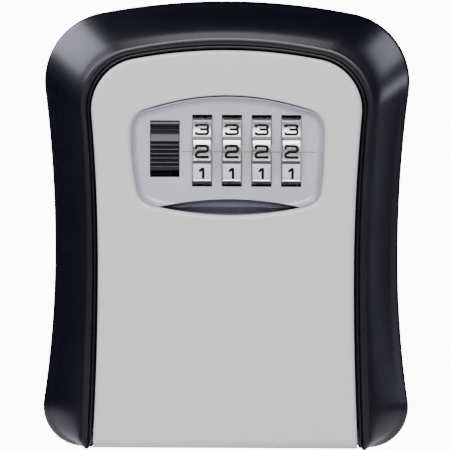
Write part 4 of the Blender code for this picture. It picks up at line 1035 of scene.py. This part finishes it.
# %% [markdown]
# ### Small finishes
# Ink, moulded plastics, brushed steel and turned brass complete the set. The plastics keep a little sheen,
# because a moulded rib shows as a thin light line.

# %% Ink, plastics and metals
ink, tree, shader = finish("black ink", (0.002, 0.002, 0.0025), 0.6)
shader.inputs["Specular IOR Level"].default_value = 0.12
uneven(tree, shader, noise(tree, 3000.0), 0.55, 0.65)

line_ink, tree, shader = finish("grey line ink", (0.17, 0.165, 0.2), 0.5)
two_tone(tree, shader, noise(tree, 2500.0), (0.15, 0.145, 0.18), (0.19, 0.185, 0.22))

moulded, tree, shader = finish("dark moulded plastic", (0.002, 0.002, 0.005), 0.22)
shader.inputs["Specular IOR Level"].default_value = 0.35
uneven(tree, shader, noise(tree, 1800.0), 0.2, 0.26)
bumped(tree, shader, noise(tree, 2600.0, 2.0), 0.05, 0.0001)

# painted light: the cup is black plastic, lightened to a grey so that its deep, little-lit recess reads as
# lit
cup_plastic_painted_light, tree, shader = finish("dark cup plastic with painted light", (0.045, 0.045, 0.062), 0.5)
two_tone(tree, shader, noise(tree, 1500.0), (0.078, 0.078, 0.102), (0.09, 0.09, 0.118))

nylon, tree, shader = finish("grained cover plastic", (0.028, 0.028, 0.031), 0.5)
two_tone(tree, shader, noise(tree, 700.0), (0.024, 0.024, 0.027), (0.034, 0.034, 0.037))
bumped(tree, shader, noise(tree, 1900.0), 0.25, 0.0002)

steel, tree, shader = finish("zinc-plated steel", (0.60, 0.60, 0.585), 0.3, 1.0)
two_tone(tree, shader, noise(tree, 160.0), (0.53, 0.54, 0.53), (0.66, 0.65, 0.62), 0.3, 0.7)
uneven(tree, shader, noise(tree, 350.0, 3.0, (1, 8, 1)), 0.22, 0.38)

# painted shade: the hinge pin is coloured near-black to stand for the shade in the gap between the door's
# barrel and the body
pin_steel_painted_shade, tree, shader = finish("steel darkened as painted shade", (0.02, 0.02, 0.022), 0.4, 0.8)
two_tone(tree, shader, noise(tree, 400.0), (0.014, 0.014, 0.016), (0.028, 0.028, 0.03))

brass, tree, shader = finish("turned brass", (0.66, 0.46, 0.20), 0.28, 1.0)
two_tone(tree, shader, noise(tree, 300.0, 3.0, (9, 1, 1)), (0.60, 0.41, 0.17), (0.72, 0.51, 0.24))
print("small finishes made")

# %% [markdown]
# ## Finishes go onto the parts
# Each finish replaces the plain colour of the matching material slot. New pieces take theirs directly.

# %% Assign
piece_finish = {"body_casting": coat, "door_shell": paint, "bezel_tray": plating, "index_line": line_ink,
                "ribbed_button": moulded, "finger_bowl": cup_plastic_painted_light}
for k in range(1, 5):
    piece_finish[f"drum_{k}"] = drum
    piece_finish[f"printed_digits_{k}"] = ink
for name, look in piece_finish.items():
    pieces[name].data.materials.clear()
    pieces[name].data.materials.append(look)

kept_finish = {"lock_cover": nylon, "code_change_lever": moulded, "hinge_pin": pin_steel_painted_shade}
for name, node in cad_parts.items():
    look = kept_finish.get(name, brass if name.startswith("cam_sleeve") else steel)
    for holder in node.material_slots:
        holder.material = look
print("finishes on", len(piece_finish), "new pieces and", len(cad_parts), "kept nodes")

# %% [markdown]
# ## Stage, light and camera
# The box is lit as a product shot: a bright soft light above and in front for the door, a weaker one
# overhead, soft boxes beyond each upper corner that draw the streaks on the black shoulders, and two weak
# ones on the right, one a narrow strip. The surroundings that the coat reflects stay dark, while what the
# camera sees behind the box is plain white. A pale floor lies below the box, under the reach of the open
# door.

# %% Stage
floor = loft("stage_floor", [[(u, v, z) for u, v in circle(1200.0, 64)] for z in (-116.0, -114.0)])
ground, tree, shader = finish("pale floor", (0.8, 0.8, 0.8), 0.9)
two_tone(tree, shader, noise(tree, 3.0), (0.79, 0.79, 0.79), (0.81, 0.81, 0.81))
floor.data.materials.append(ground)

world = bpy.data.worlds.new("studio")
bpy.context.scene.world = world
world.use_nodes = True
tree = world.node_tree
tree.nodes.clear()
seen = tree.nodes.new("ShaderNodeBackground")
seen.inputs["Color"].default_value = (1.0, 1.0, 1.0, 1.0)
seen.inputs["Strength"].default_value = 12.0
around = tree.nodes.new("ShaderNodeBackground")
around.inputs["Color"].default_value = (0.94, 0.96, 1.0, 1.0)
around.inputs["Strength"].default_value = 0.01
path = tree.nodes.new("ShaderNodeLightPath")
mix = tree.nodes.new("ShaderNodeMixShader")
out = tree.nodes.new("ShaderNodeOutputWorld")
tree.links.new(path.outputs["Is Camera Ray"], mix.inputs["Fac"])
tree.links.new(around.outputs["Background"], mix.inputs[1])
tree.links.new(seen.outputs["Background"], mix.inputs[2])
tree.links.new(mix.outputs["Shader"], out.inputs["Surface"])


def soft_box(name, place, aim, size, power, colour=(1.0, 1.0, 1.0)):
    """A rectangular light, aimed at a point, both in metres from the middle of the box."""
    lamp = bpy.data.lights.new(name, "AREA")
    lamp.shape = "RECTANGLE"
    lamp.size, lamp.size_y = size
    lamp.energy = power
    lamp.color = colour
    holder = bpy.data.objects.new(name, lamp)
    holder.location = place
    holder.rotation_euler = (Vector(aim) - Vector(place)).to_track_quat("-Z", "Y").to_euler()
    bpy.context.scene.collection.objects.link(holder)
    return holder


soft_box("front", (0.0, -1.05, 0.62), (0.0, 0.0, 0.0), (0.9, 0.6), 17.5)
soft_box("overhead", (0.0, -0.42, 0.85), (0.0, -0.03, 0.02), (0.4, 0.2), 1.5)
soft_box("upper left", (-0.60, -0.06, 0.58), (0.0, -0.03, 0.03), (0.90, 0.46), 11.5, (0.86, 0.84, 1.0))
soft_box("upper right", (0.70, -0.05, 0.53), (0.0, -0.03, 0.03), (0.34, 0.38), 2.4, (0.86, 0.84, 1.0))
soft_box("right", (0.85, -0.01, 0.125), (0.04, -0.03, -0.03), (0.45, 0.09), 1.0, (0.84, 0.82, 1.0))
soft_box("right strip", (0.66, -0.80, 0.10), (0.0, -0.03, 0.0), (0.08, 0.9), 1.0, (0.86, 0.84, 1.0))

# %% [markdown]
# ### Camera
# A long lens from nearly straight in front, a few millimetres right of the middle, with the slightest turn.

# %% Camera
DISTANCE = 0.8
FIELD = 0.1149
lens_camera = bpy.data.cameras.new("long lens")
lens_camera.sensor_width = 36.0
lens_camera.lens = lens_camera.sensor_width * (DISTANCE - 0.038) / FIELD
lens_camera.clip_start = 0.01
camera = bpy.data.objects.new("camera", lens_camera)
camera.location = (0.008, -DISTANCE, -0.0003)
target = Vector((-0.00026, -0.038, -0.00029))
camera.rotation_euler = (target - camera.location).to_track_quat("-Z", "Y").to_euler()
camera.rotation_euler.rotate_axis("Z", math.radians(0.25))
bpy.context.scene.collection.objects.link(camera)
bpy.context.scene.camera = camera
print(f"lens of {lens_camera.lens:.0f} mm at {DISTANCE} m")
